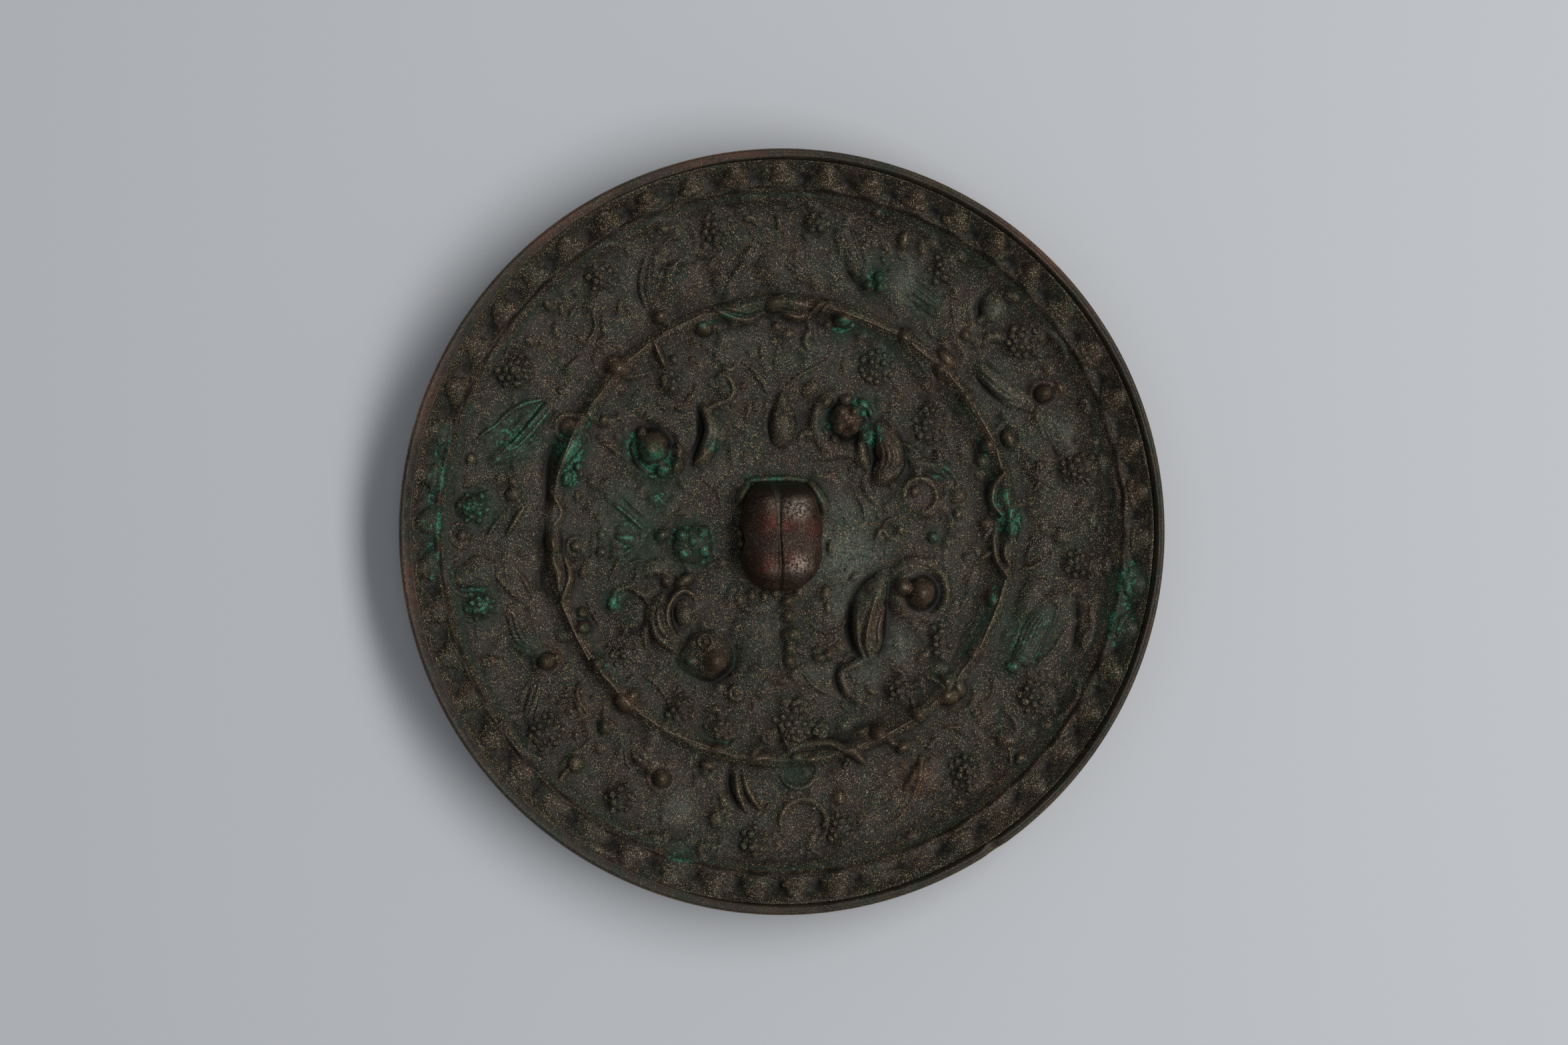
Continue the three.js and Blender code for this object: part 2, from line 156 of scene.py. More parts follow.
class Relief:
    """Heights of the back over a square grid, built up figure by figure."""

    STEP = 0.1
    HALF = 60.5
    BLEND = 0.12  # figures run into each other over about this height

    def __init__(self) -> None:
        """Makes an empty grid."""
        self.count = int(2 * self.HALF / self.STEP) + 1
        self.axis = np.linspace(-self.HALF, self.HALF, self.count, dtype=np.float32)
        self.figures = np.zeros((self.count, self.count), np.float32)
        self.cuts = np.zeros_like(self.figures)
        self.masks: dict[str, Array] = {}
        self.bunch_places: list[Point] = []
        self.surface = self.figures

    def radii(self) -> Array:
        """How far each cell is from the middle."""
        return np.hypot(*np.meshgrid(self.axis, self.axis))

    def window(self, low: Point, high: Point) -> tuple[tuple[slice, slice], Array, Array]:
        """The part of the grid between two corners.

        Args:
            low: The lowest x and y, in millimetres.
            high: The highest x and y.

        Returns:
            The slices of that part, and its x and y as two arrays.
        """
        def cells(a: float, b: float) -> slice:
            first = max(0, int((a + self.HALF) / self.STEP))
            last = min(self.count, int((b + self.HALF) / self.STEP) + 2)
            return slice(first, last)

        across, up = cells(low[0], high[0]), cells(low[1], high[1])
        x, y = np.meshgrid(self.axis[across], self.axis[up])
        return (up, across), x, y

    def turned(self, x: float, y: float, reach: float, turn: float) -> tuple:
        """The slices of the square around a point, and two turned axes that start there."""
        part, gx, gy = self.window((x - reach, y - reach), (x + reach, y + reach))
        c, s = math.cos(math.radians(turn)), math.sin(math.radians(turn))
        return part, (gx - x) * c + (gy - y) * s, (gy - y) * c - (gx - x) * s

    def raise_to(self, part: tuple[slice, slice], bump: Array) -> None:
        """Joins a bump with what stands there, with a soft crease between them."""
        old = self.figures[part]
        self.figures[part] = 0.5 * (old + bump + np.sqrt((old - bump) ** 2 + self.BLEND**2) - self.BLEND)

    def dome(self, x: float, y: float, length: float, width: float, height: float,
             turn: float = 0, form: Form = Form.ROUND) -> None:
        """Raises an oval dome.

        Args:
            x: Its middle's x, in millimetres.
            y: Its middle's y.
            length: Its size towards turn.
            width: Its size across that.
            height: How far it stands above the field.
            turn: The direction of its length, in degrees.
            form: How it falls towards its edge.
        """
        part, u, v = self.turned(x, y, max(length, width) / 2, turn)
        u, v = u / (length / 2), v / (width / 2)
        rho = u * u + v * v
        self.raise_to(part, height * np.clip(1 - rho, 0, None) ** form.value)

    def distances(self, line: Array, reach: float) -> tuple:
        """How far each grid point near a line is from it.

        Args:
            line: The line's points.
            reach: How far from the line to look.

        Returns:
            The slices, the distance, and the share of the line's length at the nearest point.
        """
        low, high = line.min(0) - reach, line.max(0) + reach
        part, gx, gy = self.window(tuple(low), tuple(high))
        best = np.full(gx.shape, 1e9, np.float32)
        share = np.zeros_like(best)
        lengths = np.hypot(*np.diff(line, axis=0).T)
        total = max(float(lengths.sum()), 1e-6)
        run = 0.0
        for (ax, ay), (bx, by), span in zip(line[:-1], line[1:], lengths):
            dx, dy = bx - ax, by - ay
            t = np.clip(((gx - ax) * dx + (gy - ay) * dy) / max(span * span, 1e-9), 0, 1)
            away = np.hypot(gx - ax - t * dx, gy - ay - t * dy)
            nearer = away < best
            best = np.where(nearer, away, best)
            share = np.where(nearer, (run + t * span) / total, share)
            run += span
        return part, best, share

    def ridge(self, points: list[Point], width: float, height: float,
              ends: Point = (0.4, 0.4), form: Form = Form.ROUND) -> None:
        """Raises a ridge along a smooth line.

        Args:
            points: The line's points, in millimetres.
            width: The ridge's full width.
            height: How far it stands above the field.
            ends: The share of its fullness that is left at its start and its end.
            form: How it falls towards its edge.
        """
        line = smooth_line(points)
        part, away, share = self.distances(line, width / 2)
        first, last = ends
        full = 1 - (1 - first) * np.clip(1 - share / 0.4, 0, 1) ** 2
        full *= 1 - (1 - last) * np.clip(1 - (1 - share) / 0.4, 0, 1) ** 2
        rho = away / (width / 2 * full)
        self.raise_to(part, height * full * np.clip(1 - rho * rho, 0, None) ** form.value)

    def bunch(self, x: float, y: float, rows: float, columns: float, turn: float) -> None:
        """Raises the low bed of a bunch of berries, and keeps its place."""
        self.bunch_places.append((x, y))
        self.dome(x, y, 1.2 * rows + 1.4, 1.15 * columns + 1.4, 0.9, turn, SOFT)

    def groove(self, points: list[Point], width: float, depth: float, taper: float = 0.6) -> None:
        """Cuts a groove along a smooth line, shallower at both ends by taper."""
        line = smooth_line(points)
        part, away, share = self.distances(line, 1.6 * width)
        fade = 1 - taper * np.abs(2 * share - 1) ** 2
        cut = depth * fade * np.exp(-((away / (0.5 * width)) ** 2))
        self.cuts[part] = np.maximum(self.cuts[part], cut)

    def hollow(self, x: float, y: float, radius: float, depth: float, width: float, turn: float = 0) -> None:
        """Presses a round or oval hollow, softly."""
        part, u, v = self.turned(x, y, 1.7 * max(radius, width / 2), turn)
        u, v = u / radius, v / (width / 2)
        self.cuts[part] = np.maximum(self.cuts[part], depth * np.exp(-1.5 * (u * u + v * v)))

    def ring(self, x: float, y: float, radius: float, width: float, height: float,
             start: float = 0, sweep: float = 360, squash: float = 1) -> None:
        """Raises a ring or an arc of one around a point.

        Args:
            x: The middle's x.
            y: The middle's y.
            radius: The radius of the ring's crest.
            width: The ridge's full width.
            height: How far it stands above the field.
            start: The angle where it starts, in degrees.
            sweep: How far it goes round from there.
            squash: Its height share along y, under 1 for an oval.
        """
        count = max(4, int(abs(sweep) / 20) + 1)
        angles = np.radians(start + np.linspace(0, sweep, count))
        line = [(x + radius * math.cos(a), y + squash * radius * math.sin(a)) for a in angles]
        even = abs(sweep) >= 360
        self.ridge(line, width, height, (1, 1) if even else (0.45, 0.45))

    def wing(self, root: Point, tip: Point, width: float, height: float, feathers: int,
             bow: float = 0.0, fan: float = 0.6) -> None:
        """Raises a wing: a low web with grooves between the feathers.

        Args:
            root: Where the wing leaves the body.
            tip: The far end.
            width: Its width near the tip.
            height: How far it stands above the field.
            feathers: How many feathers lie side by side.
            bow: How far its middle bends to the left of the line from root to tip.
            fan: The share of the width at which the feathers start at the root.
        """
        start, end = np.array(root), np.array(tip)
        along = (end - start) / np.hypot(*(end - start))
        aside = np.array([-along[1], along[0]])
        middle = (start + end) / 2 + bow * aside
        self.ridge([start, middle, end], width, height, (0.5, 0.75))
        for k in range(feathers + 1):
            spread = (k / feathers - 0.5) * width * 0.9
            near = start + 0.12 * (end - start) + aside * spread * fan * 0.5
            half = middle + aside * spread * 0.85
            far = end + aside * spread * 0.8
            self.groove([near, half, far], 0.5, 0.55 * height, 0.3)

    def tint(self, name: str, part: tuple[slice, slice], strength: Array) -> None:
        """Strengthens a mask, such as the one of green patina, in a part of the grid."""
        mask = self.masks.setdefault(name, np.zeros_like(self.figures))
        mask[part] = np.maximum(mask[part], strength)

    def spot(self, name: str, x: float, y: float, radius: float, strength: float = 1) -> None:
        """Adds a soft round patch to a mask."""
        part, u, v = self.turned(x, y, 2.2 * radius, 0)
        self.tint(name, part, strength * np.exp(-((np.hypot(u, v) / radius) ** 2.5)))

    def stripe(self, name: str, points: list[Point], width: float, strength: float) -> None:
        """Adds a soft band along a line to a mask."""
        part, away, _ = self.distances(smooth_line(points, 0.6), 1.3 * width)
        self.tint(name, part, strength * np.exp(-((away / (0.5 * width)) ** 2)))

    def at(self, values: Array, x: Array, y: Array) -> Array:
        """Values of a grid at any points, by straight lines between its cells."""
        fx = np.clip((x + self.HALF) / self.STEP, 0, self.count - 1.001)
        fy = np.clip((y + self.HALF) / self.STEP, 0, self.count - 1.001)
        ix, iy = fx.astype(int), fy.astype(int)
        tx, ty = fx - ix, fy - iy
        lower = values[iy, ix] * (1 - tx) + values[iy, ix + 1] * tx
        upper = values[iy + 1, ix] * (1 - tx) + values[iy + 1, ix + 1] * tx
        return lower * (1 - ty) + upper * ty

    def masks_at(self, names: tuple[str, ...], x: Array, y: Array) -> dict[str, Array]:
        """The values of the named masks at any points."""
        return {name: self.at(self.masks[name], x, y) for name in names}


# ---- what is cast on the back, zone by zone ----


@dataclass
class Profile:
    """The bare back from its middle to the lip, as heights above the resting face."""

    inner: float = 3.4
    ring: float = 6.0
    outer: float = 4.95
    border: float = 8.45

    def heights(self, radius: Array) -> Array:
        """The bare height at each radius."""
        inner, ring, outer, border = self.inner, self.ring, self.outer, self.border
        points = [
            (0, inner), (30.5, inner + 0.1), (33, inner + 0.4), (34.6, inner + 1.1), (35.5, ring - 0.75),
            (36.1, ring - 0.2), (36.6, ring - 0.65), (37.4, outer - 0.25), (38.6, outer - 0.35),
            (41, outer), (45, outer + 0.2), (48, outer + 0.5), (50, outer + 0.9), (51.6, outer + 1.5),
            (52.8, outer + 2.4), (53.4, border - 0.6), (53.8, border + 0.05), (54.1, border + 0.1),
            (54.6, border - 0.25), (55.5, border - 0.2), (56.8, border + 0.35), (57.6, border + 1),
            (58.1, border + 1.75), (61, border + 1.95),
        ]
        radii, levels = zip(*points)
        return np.interp(radius, radii, levels)


@dataclass
class Border:
    """The row of three-lobed palmettes between the thin ridge and the lip."""

    count: int = 49
    first_deg: float = -1.0
    creep_deg: float = 3.1
    radius: float = 55.2
    smeared: tuple[Point, ...] = ((226, 243), (284, 300), (304, 311))
    # ragged threads across the smears: width, then (degrees, radius) points
    tears: tuple[tuple[float, list[Point]], ...] = (
        (1.1, [(236, 57.3), (231.5, 57.9), (227.5, 57.2), (226.5, 55.2)]),
        (1.2, [(290.5, 58), (292.5, 56), (294.6, 55)]),
        (0.9, [(309, 58), (307.6, 55.5), (307.2, 54.2)]), (0.8, [(304, 58.2), (303.4, 57), (302.8, 58)]),
    )

    def angles(self) -> list[float]:
        """Where the palmettes stand: evenly, but part of the row has crept round a little."""
        found = []
        for k in range(self.count):
            even = self.first_deg + 360 * k / self.count
            swell = smooth_step(10, 45, np.array(even)) * (1 - smooth_step(250, 285, np.array(even)))
            found.append(even + self.creep_deg * float(swell))
        return found

    def is_smeared(self, deg: float) -> bool:
        """Whether the palmette at this angle was smeared in casting."""
        return any(low <= deg <= high for low, high in self.smeared)

    def carve(self, relief: Relief, rng: Generator) -> None:
        """Raises the soft mound under each palmette, and the smears between some."""
        for deg in self.angles():
            size = rng.uniform(0.92, 1.08)
            height = 0.6 if self.is_smeared(deg % 360) else rng.uniform(1.15, 1.45)
            relief.dome(*polar(deg, self.radius + 0.95), 3.1 * size, 3.5 * size, height, deg)
            x, y = polar(deg + rng.uniform(-0.4, 0.4), self.radius + 0.15)
            relief.dome(x, y, 2.6, 4.7 * size, rng.uniform(0.55, 0.85) * height, deg)
            relief.hollow(*polar(deg + 3.7, self.radius + 0.3), 1.3, 0.4, 2, deg)
        smears = [(1.5, [(low, 55.3), ((low + high) / 2, 57.3), (high, 57)]) for low, high in self.smeared]
        for width, places in (*smears, *self.tears):
            relief.ridge(polar_line(places), width, 0.5)


@dataclass
class VineRing:
    """The vine between the fields: its beads, nodes, scrolls and ties."""

    # x, y, length, width, height and turn of each bead
    beads: Places = (
        (-1.2, 35.8, 2.9, 2.3, 1.5, 5), (-36, -1.7, 3.4, 2.3, 1.5, 100), (36.4, 0.4, 2.6, 2.4, 1.6, 80),
        (26.1, 27.2, 2, 3.8, 1.6, 46), (-26.3, 26.1, 3.4, 2.8, 1.4, 135), (-24.8, -27, 2.4, 3.7, 1.7, 48),
        (24.9, 25.6, 1.8, 1.8, 1.5, 0), (-24.8, 25.2, 1.9, 1.7, 1.2, 0), (-23.3, -25.7, 1.7, 1.7, 1.5, 0),
        (26, -23.5, 1.8, 1.6, 1.5, 90), (-33.5, 16.3, 3.2, 3.1, 1.8, 0), (9.7, 33.3, 3, 2.3, 1.9, 5),
        (7.2, 32.6, 1.5, 1.2, 0.8, 0), (-12.3, 32.1, 2.6, 2.1, 1.7, 0), (-0.8, 32.4, 1.6, 1.5, 0.9, 0),
        (-3.2, 32.8, 1.2, 1.2, 0.6, 0), (-9.9, -34.1, 2.7, 1.7, 1.3, 0), (-7.5, -33.3, 1.6, 1.6, 1, 0),
        (15.2, -31.8, 2.4, 2.1, 1.7, 30), (12.6, -31.5, 2.2, 1.1, 1, 15), (33.2, -10.5, 1.6, 2.6, 1.7, 10),
        (32.4, 13.5, 2.1, 2.3, 1.9, 0), (31.6, 11.1, 1.9, 2, 1.5, 0), (-31.5, -12.8, 1.6, 1.6, 1.3, 0),
        (-31.3, -15, 2.1, 2, 1.7, 0), (-32.3, -2.3, 2.1, 2.3, 1.5, 100), (-31.3, -6.4, 1.3, 1.8, 0.8, 0),
        (-33.8, 8.4, 1.6, 2.6, 1.6, -20), (-32, 10.2, 1.6, 1.5, 1.2, 0), (-32.2, 5.6, 1.2, 1.6, 0.8, 0),
        (32.4, 1.2, 2.1, 2, 1.2, 0), (-36.2, -4.3, 1.2, 1.5, 1, 0), (-9.8, 31.9, 1.2, 1, 0.8, 0),
        (-13.9, 30, 1.4, 1, 0.7, 0), (-28.6, 15, 1.2, 1, 0.6, 0), (-28, 17.5, 2.2, 1.5, 1.5, 60),
        (2.4, -35.3, 2.2, 1.7, 1.3, 30), (4.7, -35.9, 2, 1.5, 1, 20), (26.6, -26.1, 3.2, 2.3, 1.7, 10),
        (28.1, -24.8, 2, 2.8, 1.6, 10),
    )
    # the ties across the vine: x, y, length, width, height and turn
    ties: Places = (
        (19.5, 30.8, 2.6, 2.2, 1.2, 57), (29.3, 21.2, 2.6, 1.6, 0.9, 36), (-29.9, 18.1, 2.4, 1.5, 0.9, 130),
        (-28.9, -20.7, 2.6, 1.7, 1.1, 216), (21.5, -28.8, 2.7, 2, 1.2, 307),
        (30.3, -19.4, 2.4, 1.6, 0.6, 327), (-18.4, -30.6, 2.6, 1.5, 0.6, 240),
    )
    # the scrolls beside the nodes
    scrolls: Lines = (
        (1.1, 0.9, [(-10.6, 35.2), (-9.4, 34.3), (-7.4, 33.6), (-5, 33.4), (-2.9, 34.4)]),
        (0.8, 0.7, [(-9.3, 35.5), (-7.6, 34.9), (-5.2, 34.5), (-3, 35.4)]),
        (1.1, 0.9, [(0.3, 34.4), (2.6, 33.8), (4.6, 34.4)]), (0.9, 1, [(4, 33.6), (5, 34.8), (6.4, 36.3)]),
        (0.8, 0.8, [(6, 34.2), (6.8, 35.3), (7.5, 36.1)]),
        (0.5, 0.5, [(4.3, 33.4), (4.5, 31.8), (5.3, 30.3)]),
        (1.2, 1.1, [(35.5, 9.6), (34.3, 8.4), (33.4, 6.8), (33.3, 4.6), (34.7, 2.7)]),
        (1, 0.9, [(33.9, 1.6), (33.6, -1.2), (33.9, -4.2), (35.3, -6.6), (36.6, -7.6)]),
        (0.8, 0.7, [(35.4, -1.6), (35.2, -3.8), (36.4, -5.6)]),
        (1.1, 1, [(-34.3, -3.6), (-33.4, -6.3), (-33.7, -8.6), (-34.6, -10.8)]),
        (0.7, 0.6, [(-35.9, -5), (-35, -6.6), (-35.2, -8.8)]),
        (1, 0.9, [(-35.8, 1), (-34.6, 3), (-35.6, 5.2), (-36.4, 6.2)]),
        (1.4, 1.2, [(1, -34.7), (3.8, -33.5), (7.3, -33.3), (9.4, -34.1), (11.2, -35.2)]),
        (0.9, 0.8, [(-3.4, -33.9), (-4.6, -35), (-3.6, -36.2)]),
        (1.3, 1, [(13.2, -36.5), (11.4, -34.9), (9.8, -34.3)]),
        (1, 1.2, [(-20, 29.6), (-19.2, 27.7), (-18.1, 25.4)]),
        (0.9, 0.8, [(19.1, -25.9), (20.4, -25.5), (21.4, -25.1)]),
        (0.9, 0.8, [(20.3, -25.6), (20.9, -27.6)]),
        (2.4, 0.8, [(-31.2, 15.2), (-33.2, 12.6), (-34.9, 10.2)]),
        (0.8, 0.7, [(-31.9, -24), (-32.1, -26), (-30.7, -28.5)]),
    )
    # the lengths of bare vine between the ties, as degrees from and to
    stems: Places = (
        (13.5, 21), (23.5, 33.8), (38.2, 43.5), (48.8, 55.5), (59.8, 77), (109.5, 121.2), (125.5, 132.2),
        (137.8, 146.6), (151.5, 167.5), (197.5, 213.6), (218.5, 224.6), (231.8, 237.8), (242.2, 257.2),
        (291, 304.6), (309.6, 313.6), (320.2, 325.6), (329.6, 347.8),
    )

    def carve(self, relief: Relief, rng: Generator) -> None:
        """Raises the scrolls, the ties, and the beads in soft sockets; the stem is a mesh."""
        dome, ring = relief.dome, relief.ring
        for width, height, points in self.scrolls:
            relief.ridge(points, width, height, (0.6, 0.6))
        for tie in self.ties:
            dome(*tie)
        for x, y, length, width, height, turn in self.beads:
            dome(x, y, length + 1, width + 1, 0.45 * height, turn, LOW)
            dome(x, y, length, width, 0.8 * height, turn)
        for deg in (22.7, 46.4, 135.1, 228.1, 317.4):
            ring(*polar(deg, 38), 2.6, 1, 0.35, deg - 80, 160)
        ring(*polar(274, 37.6), 2.9, 1.1, 0.6, 200, 170)
        dome(34.8, 5.4, 3.2, 3.4, 0.5)
        dome(2.4, 35.3, 4, 1.6, 0.4)
        dome(-35, -7.2, 1.3, 3, 0.5)
        ring(-33.5, 16.3, 2.2, 0.8, 0.5)
        ring(-32.3, -2.3, 1.5, 0.6, 0.4)


@dataclass
class OuterField:
    """The bunches, buds and birds between the vine ring and the border."""

    # degrees, radius, rows and columns of berries
    bunches: Places = (
        (12, 48, 5, 3), (38.3, 48.7, 5, 4), (58.3, 48.6, 4, 3), (83.4, 49, 3, 3), (101.7, 48.6, 5, 4),
        (125.4, 49.2, 4, 3), (149, 49.2, 5, 4), (175.6, 48.6, 4, 3), (193.6, 48.8, 4, 3),
        (220.2, 48.6, 5, 4), (238.6, 49, 4, 3), (265, 48.8, 4, 3), (281, 47.6, 4, 3), (307.5, 48, 5, 4),
        (327.1, 48, 4, 4), (353.8, 48, 5, 3),
    )
    # low arcs of vine over the bunches, as (degrees, radius) points
    arcs: tuple[list[Point], ...] = (
        [(39.2, 50.6), (38, 52), (35, 52.8), (32, 52.6), (30.8, 51.6)],
        [(9.5, 52.8), (6, 53.1), (3.2, 51.9)], [(98.5, 51.8), (95.5, 52.6), (92.5, 52.4)],
        [(90.5, 52), (87.5, 52.9), (84, 52.8)], [(115.5, 51.6), (112.5, 52.6), (109.8, 51.8)],
        [(125, 52.2), (122, 52.8), (119.4, 51.4)], [(152, 52), (149.4, 52.8), (146, 52.3)],
        [(223.5, 51.9), (219.6, 52.8), (215.4, 52)],
        [(244.8, 51.7), (242.6, 52.8), (240.2, 52.7), (238.9, 51.6)],
        [(272.8, 52.6), (270, 53.1), (266.8, 52.4)], [(277, 52.9), (274.4, 52)],
        [(334.4, 51), (332.4, 52.6), (329.2, 53.1), (326.4, 52.4), (324.8, 51.2)],
        [(346.5, 50.2), (344, 50.8), (342, 51.6)], [(223, 42.9), (219.8, 42.1), (217, 40.6)],
        [(191.6, 49), (190.8, 51.6), (188, 52.8), (185.3, 52.2), (184.2, 49.8)],
        [(183, 49.2), (182.4, 51.2), (180.4, 52), (178.6, 50.8), (179.4, 48.6)],
    )
    # leaves and buds: degrees, radius, length, width, height and turn from the radius
    buds: Places = (
        (46.4, 48.3, 4, 3.6, 0.9, 0), (46.8, 45.9, 1.6, 1.4, 0.7, 0), (45.6, 51.7, 1.5, 2.4, 0.7, 20),
        (57.2, 51.5, 1.8, 2.6, 0.5, 0), (37.6, 51.2, 1.6, 2.6, 0.4, 0), (12.2, 51.4, 1.7, 3.4, 0.6, 0),
        (22.7, 51.6, 1.5, 3, 0.8, 0), (22.4, 38.7, 2, 3, 1.2, 0), (46.8, 42.5, 1.7, 2, 1.1, 0),
        (67.3, 49.7, 3.2, 1.9, 0.8, 12), (73.4, 52.2, 1.4, 1.8, 0.6, 0), (84.4, 51.4, 1.4, 2.6, 0.4, 0),
        (102.2, 51.4, 1.4, 2.2, 0.4, 0), (111.4, 51, 1.5, 2.4, 0.6, 0), (119.4, 38.9, 2.6, 2, 1.2, 80),
        (135.9, 51.3, 2, 1.5, 0.8, -20), (134.7, 49.2, 2.4, 1.2, 0.6, -35), (166.9, 50, 2, 2.2, 0.7, 0),
        (170.6, 49.8, 2, 2.4, 0.5, 0), (188, 50.2, 3.8, 3.8, 0.8, 0), (180.6, 50.2, 2, 1.8, 0.6, 0),
        (203.8, 50.4, 3.2, 2, 0.7, -10), (205.2, 52.2, 1.2, 1.4, 0.4, 0), (228.2, 48.8, 3, 2.8, 1, 0),
        (228, 51.4, 2.6, 0.9, 0.9, 0), (227.8, 41.5, 2.2, 2, 1.2, 20), (251.6, 51.7, 1.5, 3.2, 0.7, 0),
        (247.4, 51.8, 1.3, 2.2, 0.5, 0), (257.2, 46.6, 3, 2.6, 0.7, 30), (258.2, 45, 1.6, 1.6, 0.5, 0),
        (252.4, 38.6, 1.7, 2.8, 1.1, 10), (282.2, 42.8, 2.6, 2.2, 0.8, 0), (293.2, 52, 1.4, 2.6, 0.6, 0),
        (299.6, 39, 1.7, 2.8, 1.2, 0), (317.4, 48, 3.4, 3.2, 0.8, 10), (316.4, 51.7, 1.4, 1.8, 0.6, 0),
        (340.6, 50.9, 1.7, 3.8, 0.8, 0), (354, 51.3, 1.6, 3, 0.6, 0), (359, 44.4, 3, 3.2, 0.7, 0),
        (198.3, 44, 2.2, 3, 0.8, 0), (187.6, 47.9, 5.2, 5.4, 0.6, 0), (317, 42, 1.4, 1.6, 0.5, 0),
        (172, 42.6, 3, 2.4, 0.6, 20), (169.4, 43, 1.8, 1.4, 0.5, 0), (319, 41.8, 1.2, 1.4, 0.4, 0),
        (14.6, 42.2, 1.4, 1.4, 0.6, 0), (8.8, 41.4, 1.4, 1.2, 0.6, 0),
    )
    # twigs and quills of the smaller figures, with (degrees, radius) points
    twigs: Lines = (
        (0.8, 0.5, [(15.2, 43.2), (12.4, 41.8), (8.6, 40.4)]),
        (0.8, 0.5, [(13.6, 39.8), (10.4, 42.6), (7.8, 44.8)]), (0.6, 0.4, [(11.2, 42.2), (12.6, 44.4)]),
        (0.6, 0.4, [(53.6, 45.2), (50.6, 42.8)]),
        (1, 0.6, [(104, 38.8), (100, 41.4), (97.6, 43.6), (95.2, 46.4)]),
        (1, 0.6, [(89.2, 44.8), (86.4, 42.7), (83.4, 40.4), (81.2, 38.8)]),
        (0.6, 0.4, [(101.6, 38.8), (98.2, 41), (96.2, 42.4)]), (0.6, 0.4, [(87, 41.6), (84.6, 39.6)]),
        (0.8, 0.4, [(95.2, 46.4), (93.2, 45.2), (91.4, 45.4), (89.4, 44.8)]),
        (0.6, 0.4, [(64.4, 39.3), (60.6, 38.6)]), (0.8, 0.4, [(64.2, 41), (60.4, 42.4)]),
        (0.9, 0.7, [(121.2, 41.4), (120.4, 44), (118.2, 46.6), (116.2, 48.2), (114.8, 49.8)]),
        (0.8, 0.6, [(118.4, 43.8), (115.6, 45.8), (112.4, 46.4)]),
        (0.8, 0.6, [(112.8, 44.2), (111.2, 45.4), (107.4, 45.2)]), (0.7, 0.4, [(117, 42.8), (113.2, 43.4)]),
        (0.7, 0.4, [(114.8, 47.4), (111.4, 49.2), (108.6, 49.2)]),
        (0.6, 0.4, [(105.6, 43.6), (102.8, 44.8)]), (0.6, 0.5, [(164.2, 50.6), (161.2, 49), (157.8, 46.8)]),
        (0.9, 0.6, [(160.2, 48.2), (156, 46.6), (152.6, 44.4), (150.8, 42.2), (151.6, 41)]),
        (0.9, 0.5, [(181.4, 46.4), (178.2, 44.9), (175.2, 43)]),
        (1.1, 0.6, [(180.6, 43.2), (176.8, 41.6), (173.8, 40.4)]),
        (0.7, 0.4, [(143.2, 42.6), (139.4, 42.2)]),
        (0.7, 0.5, [(137.4, 42.8), (133, 43.2), (130.2, 45.8), (127, 48)]),
        (0.7, 0.4, [(134.6, 41.6), (131.4, 41.4)]), (0.9, 0.5, [(127.2, 43), (124.4, 44.4)]),
        (1, 0.6, [(196.4, 41.4), (193.2, 43.2), (189.6, 44.9), (185.6, 45.3)]),
        (0.9, 0.5, [(194.6, 40.4), (190.2, 41.4), (186.6, 43)]), (0.6, 0.4, [(192.4, 42.2), (191.2, 44.2)]),
        (0.6, 0.4, [(189.6, 41.8), (188.4, 44.4)]), (0.6, 0.3, [(227.6, 43.4), (227.2, 46.6)]),
        (1, 0.6, [(239.6, 43.6), (236.6, 43.8), (234.4, 42), (232.6, 39.4)]),
        (1.2, 0.9, [(265.4, 43.8), (262.6, 41.2), (260.8, 38.2)]),
        (1.2, 0.9, [(262.6, 44.4), (260.4, 41.6), (259.2, 38.6)]),
        (0.8, 0.5, [(266.6, 44.2), (267.4, 42.6)]), (1.4, 1, [(301.8, 41.8), (299.2, 44.4), (296.2, 46.8)]),
        (1.3, 0.9, [(299.8, 42.8), (297.4, 44.3), (295, 45.3)]),
        (0.8, 0.5, [(296.4, 46.8), (292.6, 48.6), (289.6, 49.2)]),
        (0.8, 0.5, [(293.6, 44.8), (290, 45.4), (286.4, 45.2)]), (0.8, 0.4, [(292.6, 43.2), (289.2, 43.8)]),
        (0.8, 0.5, [(314.6, 51.4), (316.6, 49.4)]), (0.7, 0.4, [(325.4, 40.8), (322.4, 42), (318.8, 42.2)]),
        (0.7, 0.5, [(313.2, 42.2), (311.4, 41.2), (309.8, 40.2)]),
        (0.8, 0.4, [(341.8, 47.6), (336.4, 46.8), (331.2, 45.2)]),
        (0.9, 0.6, [(356.2, 43.6), (352.8, 40.8), (350.2, 37.8)]),
        (0.8, 0.6, [(350.6, 43.2), (349.8, 40.6)]), (0.7, 0.4, [(357, 39.6), (353.6, 38.8)]),
        (0.7, 0.4, [(354.6, 42), (357.2, 41.4)]), (1.6, 0.9, [(289.8, 38.8), (288, 36.6), (285.2, 35)]),
        (0.9, 0.6, [(284.4, 38.8), (286.2, 37.4)]), (1.2, 0.9, [(262, 36.8), (264.6, 35.6), (267.4, 35.6)]),
        (0.9, 0.4, [(318.6, 46.2), (316.2, 45)]),
    )

